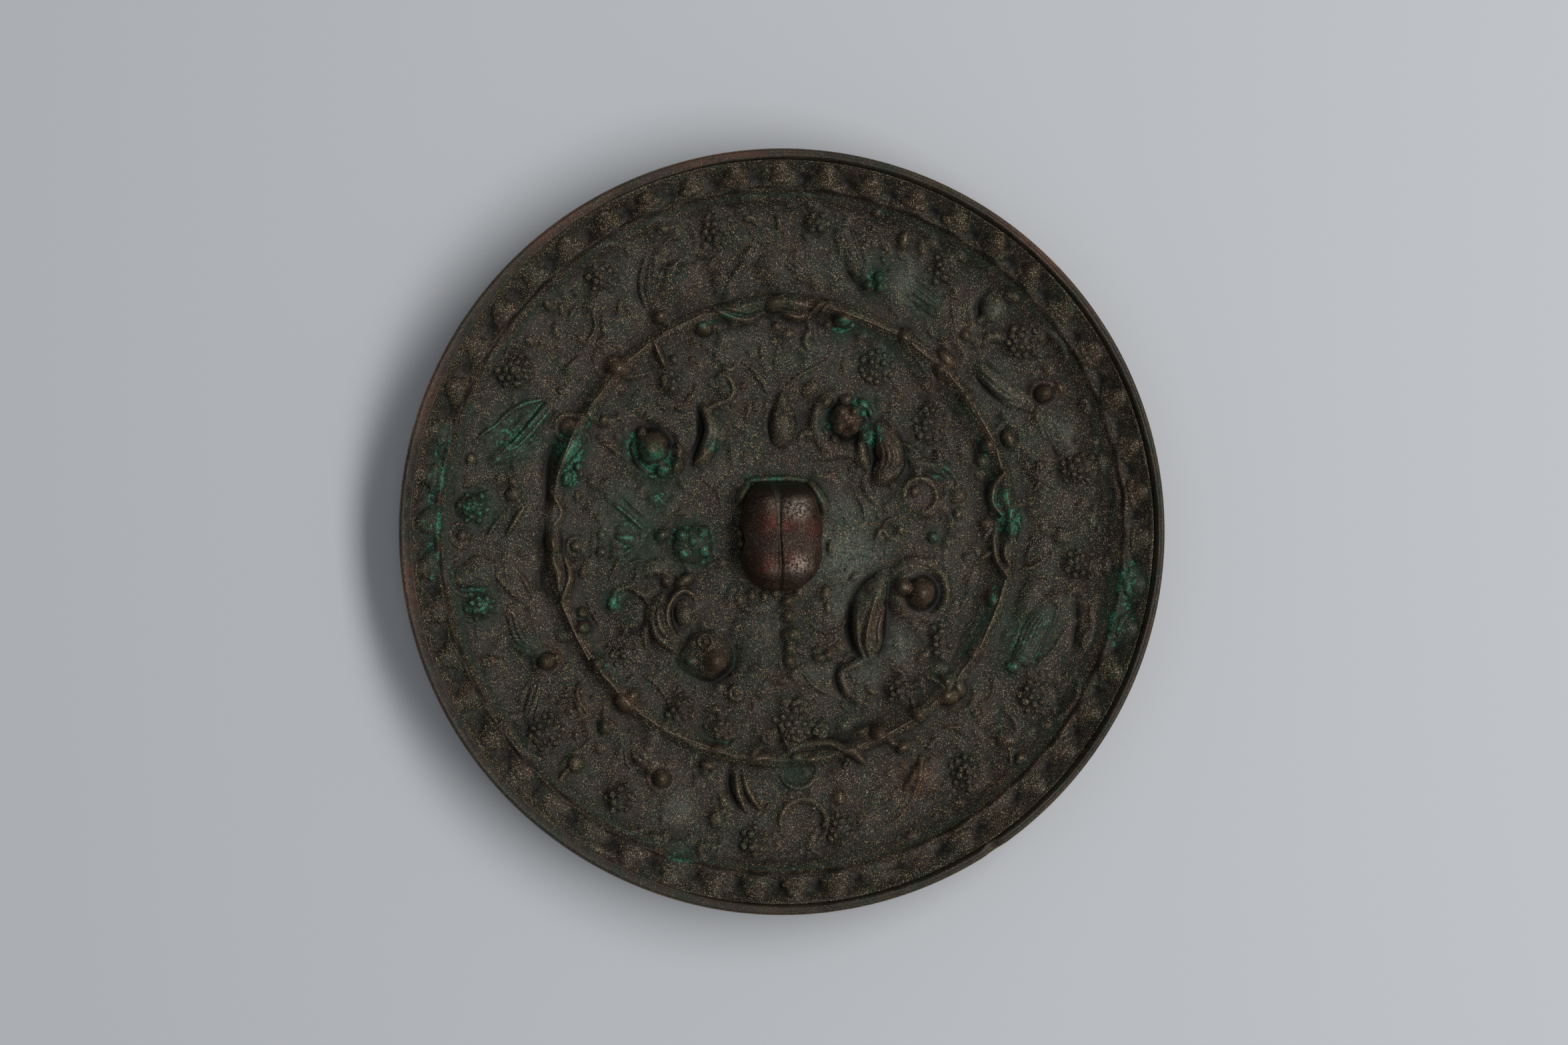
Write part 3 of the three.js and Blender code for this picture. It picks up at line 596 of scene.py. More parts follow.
    def carve(self, relief: Relief, rng: Generator) -> None:
        """Raises every figure of the zone except the berries themselves."""
        ridge = relief.ridge
        for deg, radius, rows, columns in self.bunches:
            relief.bunch(*polar(deg, radius), rows, columns, deg)
        for places in self.arcs:
            ridge(polar_line(places), 0.9, 0.42, (0.5, 0.5))
        for deg, radius, length, width, height, turn in self.buds:
            relief.dome(*polar(deg, radius), length, width, height, deg + turn)
        for width, height, places in self.twigs:
            ridge(polar_line(places), width, height, (0.5, 0.4))
        dents = ((22.7, 51.6, 0.9), (340.6, 50.9, 1.1), (251.6, 51.7, 0.8), (203.8, 50.4, 0.8))
        for deg, radius, size in dents:
            relief.hollow(*polar(deg, radius), 0.5 * size, 0.45, 2 * size, deg)
        x, y = polar(273.8, 46.9)
        relief.ring(x + 0.3, y + 0.9, 3.6, 1.3, 0.6, -70, 300, squash=1.05)
        self.carve_birds(relief)

    def carve_birds(self, relief: Relief) -> None:
        """Raises the birds: heads in shallow sockets, and feathered wings."""
        dome = relief.dome
        heads = [
            (27.8, 46.7, 2.7, 1.9), (208.8, 42.3, 2.7, 2), (243.8, 43.2, 2.6, 1.8), (70.6, 41.2, 1.7, 1.4),
            (69.1, 42.9, 1.9, 1.4), (68.2, 41.5, 1.7, 1.3), (209, 40.5, 1.3, 0.9), (329.8, 42.3, 2.4, 0.8),
        ]
        for deg, radius, size, height in heads:
            x, y = polar(deg, radius)
            dome(x, y, size + 1.8, size + 1.8, 0.35, 0, LOW)
            dome(x, y, size, 0.92 * size, height, deg)
        for deg, radius, _, _ in heads[:3]:
            relief.ring(*polar(deg, radius), 2, 0.8, 0.35)
        # root, tip, width, height, feathers and bow
        wings = [
            ((26.6, 43.9), (39, 40.6), 3.6, 0.85, 3, 0.3), ((25, 45), (16.4, 46.6), 4.4, 0.8, 6, 0.5),
            ((72.4, 42.8), (78.2, 47.6), 4.2, 0.6, 4, 0.6), ((66.8, 43.6), (55.4, 43.2), 5, 0.55, 4, 0.4),
            ((210.2, 43.6), (216.2, 48.6), 4.6, 0.6, 4, 0.3), ((206.6, 43), (197, 43.8), 4.6, 0.7, 4, 0.6),
            ((346.4, 44.6), (333, 43), 5, 1, 6, -0.5), ((166.6, 46.8), (151.6, 41.6), 2.8, 0.8, 2, -0.6),
            ((102, 40.4), (95.6, 44.4), 3.2, 0.5, 3, 0), ((83, 40), (89.4, 43.4), 3.2, 0.5, 3, 0),
            ((118.6, 42.4), (113.8, 48.2), 4, 0.45, 3, 0.3), ((296, 45.4), (286, 47.2), 3.8, 0.45, 4, 0.3),
            ((232.8, 41), (240.2, 41.6), 4.6, 0.5, 3, 0),
        ]
        for root, tip, *rest in wings:
            relief.wing(polar(*root), polar(*tip), *rest)
        for points, width in (
            ([(-20.4, 44.6), (-21.8, 41), (-22.4, 37.5), (-21.2, 34.5)], 1.5),
            ([(-9.6, 36.8), (-9, 39.2), (-7.5, 41.5), (-5.4, 43.8)], 0.8),
            ([(-20, 40.5), (-18.8, 41.8), (-17.4, 42.4)], 0.6),
            ([(-17, 40.4), (-15.8, 42.3), (-14.4, 43), (-12, 43.2)], 0.6),
            ([(19.8, 35.2), (22.4, 35.4), (24.9, 35.5)], 0.7),
            ([(20.2, 40.3), (22.6, 38.4), (25, 36.2)], 0.6),
            ([(30.8, 25.6), (31.6, 23.6), (33.2, 21.9), (35.2, 20.6)], 0.9),
            ([(-24.3, -31), (-24, -34.6), (-23.2, -37), (-21.2, -38.2)], 1.2),
            ([(-36.9, 4.6), (-37.1, 8), (-36.7, 12), (-35.2, 15)], 1.6),
            ([(-37.6, -5), (-38.2, -8), (-36.8, -10.4)], 2.2),
            ([(-7.9, -36.6), (-8.4, -40), (-6.8, -43.4)], 1.1), ([(46, -18.6), (46.6, -14), (46.4, -10)], 1),
            ([(32.4, 37.8), (31, 35.4), (31.6, 32.8)], 1.3),
            ([(9.8, 46.2), (9.8, 43), (11, 40), (12.6, 38.2)], 1.3),
        ):
            relief.groove(points, width, 0.45)
        domes = [
            (24, 44.3, 2.6, 1.8, 0.7, 120), (27.4, 49.4, 1.8, 2.2, 0.6, 0), (249, 46.6, 6, 6.6, 0.6, 0),
            (92.2, 41.8, 7, 6, 0.5, 92), (337, 44.3, 4.6, 1.3, 0.5, 65), (188.8, 43.2, 3.4, 7.6, 0.4, 188),
            (113, 42.6, 8.4, 7.6, 0.75, 30), (103, 40.6, 4.6, 6.6, 0.7, 10), (60, 46.4, 4, 3, 0.3, 0),
            (64, 42.4, 9, 6.4, 0.5, 110), (128.6, 46.4, 6, 4, 0.5, 40), (158, 44, 6, 3, 0.4, 60),
            (213.6, 46.6, 7, 5, 0.5, 210), (238, 39.6, 6.4, 3.6, 0.6, 70), (301, 45, 8, 4.4, 0.5, 60),
            (344, 40.6, 9, 4, 0.5, 70), (6, 42.6, 8, 6, 0.4, 6), (354, 41, 5, 7, 0.3, 354),
            (11.6, 42.2, 4, 6, 0.3, 11),
        ]
        for deg, radius, *rest in domes:
            dome(*polar(deg, radius), *rest, SOFT)


@dataclass
class InnerField:
    """The four crouching beasts round the knob, with grapes and small creatures between them."""

    # x, y, rows, columns and turn of each bunch
    bunches: Places = (
        (-17.4, 23.6, 3, 3, 120), (15.2, 26, 4, 4, 60), (23.6, 17.2, 5, 4, 80), (25.4, -17.2, 3, 5, 0),
        (18.6, -25, 3, 3, -50), (-15.9, -28, 4, 3, 90), (-9.4, -31.3, 2, 4, 80), (2.2, -30.4, 4, 5, 90),
    )
    # low domes: x, y, length, width, height and turn
    mounds: Places = (
        (0.1, 16.9, 7.6, 4.4, 1.1, 90), (0.2, 20.6, 3, 2.2, 0.8, 90), (-5.3, 18.7, 3.4, 1.1, 0.5, 80),
        (4.6, 22.6, 3.4, 2.2, 1, 30), (7, 11.9, 5.6, 1.6, 0.6, 5), (-14, -2.1, 6.6, 5.8, 1.1, 30),
        (-18.8, -0.5, 2.6, 1.7, 1.2, 20), (-24.4, -1, 4, 2, 0.8, -12), (-25.9, -3.4, 3, 2, 0.7, 20),
        (-28.4, -0.5, 1.7, 1.4, 1, 0), (-28.4, -3.2, 1.7, 1.5, 1, 0), (-15.2, -7.7, 3.4, 2, 1.2, 30),
        (-18.1, -7.9, 1.8, 1.8, 1, 0), (15.9, -0.6, 3, 2.4, 0.4, 0), (18.9, 0.3, 1.8, 1.5, 0.8, 0),
        (24, -0.9, 1.9, 1.6, 0.9, 0), (27.9, 5.8, 3, 2.8, 0.9, 0), (27.9, 2.7, 1.7, 1.9, 0.9, 0),
        (7.4, -19.4, 2, 1.7, 1.1, 0), (5.9, -19.9, 2.2, 1.5, 1, 0), (5.8, -18.6, 2.6, 1, 0.6, 20),
        (-7.1, -25.5, 2.6, 2.4, 0.8, 0), (7.1, -9.9, 2, 3, 0.8, 0), (7.4, -11.9, 1.5, 2.4, 0.9, 0),
        (-3.4, -11.6, 6.4, 3, 0.5, 25), (22.9, 24.4, 2.6, 5.4, 0.5, 20), (27.8, -0.6, 2.4, 2, 0.5, 0),
        (-20.6, -5.8, 6.6, 2.4, 0.6, 20), (-19.8, 5, 4.2, 2.4, 0.6, -30), (-31.6, -2.4, 2.4, 2.2, 0.4, 0),
        (4, -25.8, 2.8, 1.6, 0.5, -20), (-5.6, -17, 8, 7, 0.35, 20), (7.2, -13.2, 6.4, 6, 0.3, 0),
        (-23.2, -16.6, 3, 2, 0.4, 0), (29.6, -4, 2, 1.6, 0.5, 0), (-22.4, 21, 5, 2.6, 0.35, 40),
    )
    stems: Lines = (
        (0.8, 0.6, [(-6, 26.8), (-4.2, 25.4), (-2.6, 23.6), (-1.6, 22)]),
        (0.6, 0.5, [(-4.6, 25), (-3, 23.4), (-2.2, 21.8)]),
        (0.7, 0.5, [(7.6, 27), (4.6, 25.6), (2, 24), (0.4, 22.2)]),
        (0.7, 0.4, [(8.4, 29.8), (7.6, 27.6), (6, 26.2)]),
        (0.9, 0.8, [(-26.4, 4.4), (-24.4, 2.8), (-22.8, 1.4), (-21.4, 0)]),
        (0.7, 0.6, [(-24.8, 5.4), (-22.6, 3.4), (-21.2, 2.2)]),
        (0.8, 0.6, [(-27, -7.4), (-25.8, -5), (-24.4, -3.2), (-22, -1.8)]),
        (0.7, 0.5, [(-24.8, -5.6), (-22.8, -4.6), (-21, -5), (-19.2, -4.2)]),
        (0.9, 0.7, [(-19.8, 6), (-18.8, 4.6), (-17.8, 4.2)]),
        (0.8, 0.5, [(-22, -7), (-20.2, -6.4), (-18, -6.4)]),
        (1, 1, [(14.8, -1.3), (15.9, 0.3), (17.3, -1.4)]), (0.7, 0.6, [(15.9, 0.3), (16.6, 1.6), (18, 2.2)]),
        (0.7, 0.5, [(4.2, -14), (5.6, -15.4), (7.6, -15.8), (9.6, -15), (10.6, -13.8)]),
        (0.8, 0.5, [(1.6, -18.2), (2.8, -18.8), (4, -19.6)]),
        (0.8, 0.7, [(3, -21.4), (4.4, -23.6), (6, -24.9), (7.8, -25.8)]),
        (1, 0.5, [(2.6, -26.6), (4.6, -25.8), (5.6, -26.8)]),
        (0.8, 0.5, [(18.4, 14.8), (17.4, 17), (15.6, 18.6)]),
        (0.9, 0.6, [(22.4, 11.6), (21, 13), (19.2, 14)]),
        (0.7, 0.5, [(25.6, 3.6), (27.2, 1.4), (26.4, -0.6)]),
        (0.8, 0.5, [(20, 1.8), (22, 2.4), (24.6, 3.4)]),
        (0.8, 0.5, [(-25.6, 12), (-27.2, 13.6), (-28.6, 14)]),
        (0.7, 0.5, [(-30.4, -10.6), (-30, -12.4), (-28.6, -14.8)]),
        (0.7, 0.4, [(-6.4, -9.2), (-7.6, -10.6), (-8.8, -12.6)]), (0.6, 0.4, [(-4.4, -9.6), (-5.2, -11.4)]),
        (0.6, 0.4, [(-2.4, -9.8), (-2.6, -12)]), (0.7, 0.5, [(-9.8, -23.6), (-6.8, -22.6), (-3.6, -22.8)]),
        (0.7, 0.4, [(-3.8, -24.8), (-1.6, -23.2), (0.4, -23.4)]),
        (0.9, 0.6, [(-24.4, 24), (-22.4, 24.6), (-20.6, 25)]),
        (0.8, 0.5, [(21.6, 26.8), (22.6, 25), (23, 22.8)]),
        (0.8, 0.5, [(26, -14), (28.4, -12.2), (29.8, -9.4)]),
        (0.7, 0.5, [(22.2, -22.8), (24.2, -23.4), (25.6, -24.6)]),
        (0.7, 0.4, [(-12.6, 8.4), (-10.2, 6.6), (-9.4, 4.2)]),
        (0.9, 0.5, [(11.6, 6.2), (13, 4), (13.2, 1.6)]),
    )
    rosette: Point = (-24.9, -19.6)

    def carve(self, relief: Relief, rng: Generator) -> None:
        """Raises every figure of the zone except the berries themselves."""
        dome = relief.dome
        for place in self.bunches:
            relief.bunch(*place)
        x, y = self.rosette
        dome(x, y, 6.4, 6.2, 0.7, 0, SOFT)
        relief.ring(x, y, 2.8, 0.7, 0.3)
        for mound in self.mounds:
            dome(*mound)
        for width, height, points in self.stems:
            relief.ridge(points, width, height, (0.5, 0.4))
        for figure in (self.carve_upper_left, self.carve_upper_right, self.carve_lower_right,
                       self.carve_lower_left, self.carve_small_figures):
            figure(relief)

    def carve_head(self, relief: Relief, x: float, y: float, skull: float, ruff: float, centre: Point,
                   lumps: int, height: float = 2.45) -> None:
        """Raises a beast's round skull in the deep socket of its ruff."""
        dome = relief.dome
        cx, cy = centre
        dome(cx, cy, 2 * ruff + 3.4, 2 * ruff + 2.8, 1.35, 0, SOFT)
        rng = np.random.default_rng(int(10 * abs(x) + abs(y)))
        for angle in rng.uniform(0, TURN, lumps):
            out = ruff * rng.uniform(0.8, 1.1)
            size = rng.uniform(1.8, 3.6)
            dome(cx + out * math.cos(angle), cy + out * math.sin(angle), size, 0.6 * size,
                 rng.uniform(1.2, 1.65), math.degrees(angle) + 90 * rng.uniform(0.6, 1.4))
        circle = np.linspace(0, TURN, 17)
        moat = skull + 0.55
        relief.groove([(x + moat * math.cos(a), y + moat * math.sin(a)) for a in circle], 1.8, 0.7, 0)
        dome(x, y, 2 * skull, 2 * skull, height)

    def carve_upper_left(self, relief: Relief) -> None:
        """The beast whose back bends round to the right, with its tail up."""
        dome, ridge = relief.dome, relief.ridge
        self.carve_head(relief, -20.3, 13.1, 2.75, 3.9, (-20, 12.4), 3)
        dome(-16.6, 12.8, 2.6, 2.6, 1.6)
        relief.hollow(-16.6, 12.8, 0.5, 0.6, 1)
        dome(-18.8, 9.9, 3.2, 2.6, 1.9, 30)
        ridge([(-22.9, 15.3), (-23.6, 13.5), (-23.2, 11.6), (-22.2, 10.2), (-20.6, 8.9)], 0.9, 1.4)
        ridge([(-12.2, 19.2), (-10.9, 17), (-11, 14.8), (-12.4, 12), (-13.6, 10.8)], 3.4, 1.6, (0.5, 0.3),
              SOFT)
        ridge([(-12.3, 18.8), (-11.5, 16.8), (-11.7, 14.8), (-12.8, 12.2)], 1.3, 1.9, (0.4, 0.3))
        relief.groove([(-13.3, 19.4), (-12.7, 17), (-12.9, 14.6), (-14, 12)], 1.1, 0.6)
        dome(-9.6, 15.6, 3.4, 4.6, 0.7, 0, SOFT)
        ridge([(-12.2, 19.1), (-10.2, 20.1), (-8.3, 20.9), (-7.6, 22.3), (-8.1, 24), (-9.3, 24.8),
              (-10.4, 24.1)], 1.4, 0.8, (0.8, 0.5), SOFT)
        dome(-9.1, 22.4, 2.6, 2.2, 0.6, 0, SOFT)

    def carve_upper_right(self, relief: Relief) -> None:
        """The beast with a broad striped flank and a long tail, beside a curled tendril."""
        dome, ridge, groove, ring = relief.dome, relief.ridge, relief.groove, relief.ring
        self.carve_head(relief, 10.3, 17.6, 2.7, 4, (10.2, 17.4), 5, 1.9)
        ring(10.2, 17.2, 4.9, 2, 0.7, 100, 190)
        for x, y, size in (
            (9.3, 18.8, 2.3), (11.5, 18.9, 2.2), (11.2, 16.3, 2.1), (8.9, 16.4, 1.9), (12.9, 15.2, 1.9),
        ):
            dome(x, y, size, size, 2.6)
        dome(12.9, 19.9, 2.8, 2, 1.6, -40)
        dome(7.2, 20.4, 2.2, 1.8, 1.3, 40)
        ridge([(15.4, 16.6), (16.8, 13.8), (17.2, 11), (15.8, 8.8), (14.6, 7.4)], 4.6, 1.9, (0.45, 0.3))
        for k in range(5):
            offset = 0.85 * k - 1.6
            upper = [(15.6 + 0.5 * offset, 15.8), (17 + offset, 12.6)]
            groove([*upper, (16.8 + offset, 10.4), (15 + 0.35 * offset, 8.2)], 0.42, 0.5, 0.5)
        ridge([(13.4, 9.4), (13.2, 7.4), (14, 5.8), (15, 4.4)], 1.5, 0.6, form=SOFT)
        ridge([(12.6, 14.4), (12.8, 12), (13.6, 9.6)], 2.4, 1, form=SOFT)
        ridge([(19.6, 12.4), (21.6, 10.9), (24, 10.4), (26, 9.8), (27.8, 7.6)], 2.8, 0.75, (0.25, 0.6), SOFT)
        groove([(24.8, 10.2), (26.4, 9), (27.6, 7.4)], 0.4, 0.4)
        dome(21.6, 5.8, 8.4, 8, 0.5, 0, SOFT)
        ring(21.9, 5.7, 2.7, 1.2, 1, -110, 300)
        ridge([(21, 3.2), (23.4, 2.6), (25.2, 4.4), (26.4, 7)], 0.9, 0.6)
        dome(21.1, 6.3, 1.9, 1.9, 1.5)

    def carve_lower_right(self, relief: Relief) -> None:
        """The beast with a crescent body, whose hind leg trails down."""
        ridge, groove = relief.ridge, relief.groove
        self.carve_head(relief, 22.2, -9.7, 2.2, 4, (21.4, -9.4), 0)
        relief.ring(21.5, -9.3, 4.6, 2, 0.8, -60, 220)
        relief.dome(19.4, -8.8, 3.2, 3.2, 2.1)
        ridge([(15.9, -7.6), (14.1, -11), (13.7, -15), (14.3, -19.8)], 5.6, 2, (0.5, 0.4), SOFT)
        ridge([(15.2, -8.8), (13.9, -13.1), (13.2, -17.3), (13.9, -19.8)], 1, 2.3, (0.6, 0.5))
        ridge([(16.2, -11.8), (15.3, -15), (15.3, -17.6), (14.6, -19.4)], 1, 2, (0.5, 0.5))
        ridge([(12.6, -10.2), (11.9, -13.6), (12.1, -17.2), (13.2, -20.2)], 1.1, 1.5, (0.5, 0.5))
        for points in (
            [(14.6, -9.8), (13.1, -13.6), (12.6, -17.4), (13.4, -19.6)],
            [(15.9, -10.2), (14.7, -13.6), (14.3, -17.6)], [(10.7, -11.4), (10.4, -15), (11.2, -18.8)],
        ):
            groove(points, 0.6, 0.35)
        ridge([(13.6, -20), (11.6, -21), (9.6, -22.1), (9.9, -24.2), (11.2, -26.4)], 1.9, 0.8, (0.6, 0.3),
              SOFT)
        groove([(11.4, -20.2), (8.8, -21.8), (8.7, -24.2), (10.4, -26.9)], 0.9, 0.45)

    def carve_lower_left(self, relief: Relief) -> None:
        """The beast with an arched, layered mane, beside a leaf that hooks over."""
        dome, ridge, groove = relief.dome, relief.ridge, relief.groove
        dome(-12.2, -19.1, 11.6, 11, 1.3, 0, SOFT)
        groove([(-14.6, -22.6), (-16.4, -20.6), (-15.6, -17.8), (-13.4, -15.6), (-11, -15.4)], 1.5, 0.5, 0.4)
        groove([(-14.6, -22.6), (-11, -23.6), (-8, -21.8), (-7.6, -18.8), (-9, -16.2)], 1.5, 0.6, 0.4)
        dome(-12, -19.2, 7.6, 7, 1.7, 120)
        dome(-10.7, -20.3, 4.2, 3.8, 2.7)
        relief.ring(-12.1, -17.3, 1.1, 0.7, 2.15)
        dome(-12.1, -17.3, 1.2, 1.2, 2.4)
        dome(-14.3, -20.3, 2.2, 2, 2.1)
        ridge([(-15.4, -17.6), (-17.4, -15.4), (-18, -12.6), (-16.9, -10.2), (-15.3, -9.3), (-13.8, -10.2),
              (-13.4, -12)], 1.1, 1.2, (0.5, 0.3))
        ridge([(-16.6, -18.4), (-18.9, -16), (-19.8, -13), (-18.6, -10.4)], 4.6, 1.3, (0.6, 0.4), SOFT)
        for points in (
            [(-16.4, -17), (-18.4, -14.9), (-18.9, -12.2), (-18, -9.8)],
            [(-16.9, -18.2), (-19.3, -16), (-20.1, -13.2), (-19.4, -10.8)],
            [(-17.4, -19.2), (-20.2, -17), (-21.2, -14.4)],
        ):
            groove(points, 0.5, 0.5)
        dome(-15.2, -12.8, 5, 3.8, 0.9, 100, SOFT)
        ridge([(-27.4, -12.4), (-26.9, -10.4), (-25.4, -9), (-23.6, -8.9), (-21.8, -10.2), (-20.6, -12.2),
              (-20.6, -14)], 1.1, 0.6)
        dome(-26.6, -11.2, 2.8, 1.8, 1.1, 70)
        dome(-23.6, -13, 6, 5.4, 0.4, 60, SOFT)

    def carve_small_figures(self, relief: Relief) -> None:
        """The vase-shaped bud above the knob, ringed beads and the lumpy leaf beside it."""
        dome, ridge, groove = relief.dome, relief.ridge, relief.groove
        groove([(-1.6, 14.2), (-1.9, 17), (-1.2, 20)], 0.6, 0.45)
        groove([(1.3, 15), (1.5, 17.6), (1, 19.8)], 0.4, 0.35)
        for x, y, radius in (
            (3, -28, 1.4), (1.9, -32.5, 1.5), (-7.1, -25.5, 1.1), (6.3, -31.3, 1), (-2, -32.4, 1),
        ):
            dome(x, y, 3.2 * radius, 3 * radius, 0.7, 0, SOFT)
            relief.ring(x, y, radius, 0.7, 0.7)
            dome(x, y, 1.3 * radius, 1.2 * radius, 1.2)
        for x, y, size in (
            (-12.4, -0.2, 2.2), (-15.4, -3.4, 2.2), (-12.2, -3, 2.4), (-15.8, -0.6, 2), (-14, -1.6, 1.8),
        ):
            dome(x, y, size, size, 1.4)
        for x, y in ((1, -11), (1.1, -13.3), (1.6, -16.3), (1.4, -18.4), (1.3, -20.4)):
            dome(x, y, 2.4, 2.1, 1.2, 0, SOFT)
        dome(1.7, -16.4, 3.6, 2.6, 0.8)
        ridge([(-6.8, 7.7), (-3.6, 8.2), (-0.3, 8.3), (2.8, 8.2), (5, 7.8)], 1.4, 0.9, form=SOFT)
        ridge([(-5.4, 7.4), (-6.1, 6), (-6.9, 4.4)], 1.6, 1.7, (0.7, 0.4), SOFT)
        ridge([(4.5, 7.5), (5.5, 6), (6.4, 4.4), (6.8, 2.8)], 2.2, 1.8, (0.7, 0.4), SOFT)
        dome(7.7, -2.4, 1.2, 2.6, 0.9, 0, SOFT)
        dome(-6.5, -0.3, 1.6, 1.6, 1.3)
        dome(-6.3, -1.9, 1.5, 1.7, 1.2)
        for x, y in ((-6.6, -10.8), (-4.6, -10.2), (-2.6, -10.4), (-0.8, -9.6), (2.8, -9.6)):
            dome(x, y, 2, 2.6, 0.7, 0, SOFT)


@dataclass
class Leafage:
    """The low, worn leaves and tendrils that fill the ground between the figures."""

    # inner radius, outer radius, lumps, tendrils and height of each zone
    zones: Places = (
        (10, 22, 110, 10, 0.55), (22, 33.5, 240, 22, 0.65), (38, 51.5, 330, 40, 0.5),
        (54.6, 57.8, 90, 0, 0.3),
    )

    def carve(self, relief: Relief, rng: Generator) -> None:
        """Scatters lumps and short bent tendrils over the zones."""
        for low, high, lumps, tendrils, height in self.zones:
            for _ in range(int(lumps)):
                x, y = polar(rng.uniform(0, 360), math.sqrt(rng.uniform(low**2, high**2)))
                size = rng.uniform(1.3, 3.6)
                relief.dome(x, y, size, size * rng.uniform(0.35, 0.8), height * rng.uniform(0.4, 1),
                            rng.uniform(0, 180), SOFT)
            for _ in range(int(tendrils)):
                x, y = polar(rng.uniform(0, 360), math.sqrt(rng.uniform(low**2, high**2)))
                turn, bend, size = rng.uniform(0, 360), rng.uniform(-50, 50), rng.uniform(1, 2.6)
                ax, ay = polar(turn, size)
                bx, by = polar(turn + bend, 1.9 * size)
                relief.ridge([(x, y), (x + ax, y + ay), (x + bx, y + by)], rng.uniform(1, 1.9),
                             height * rng.uniform(0.6, 1.1), (0.4, 0.3))


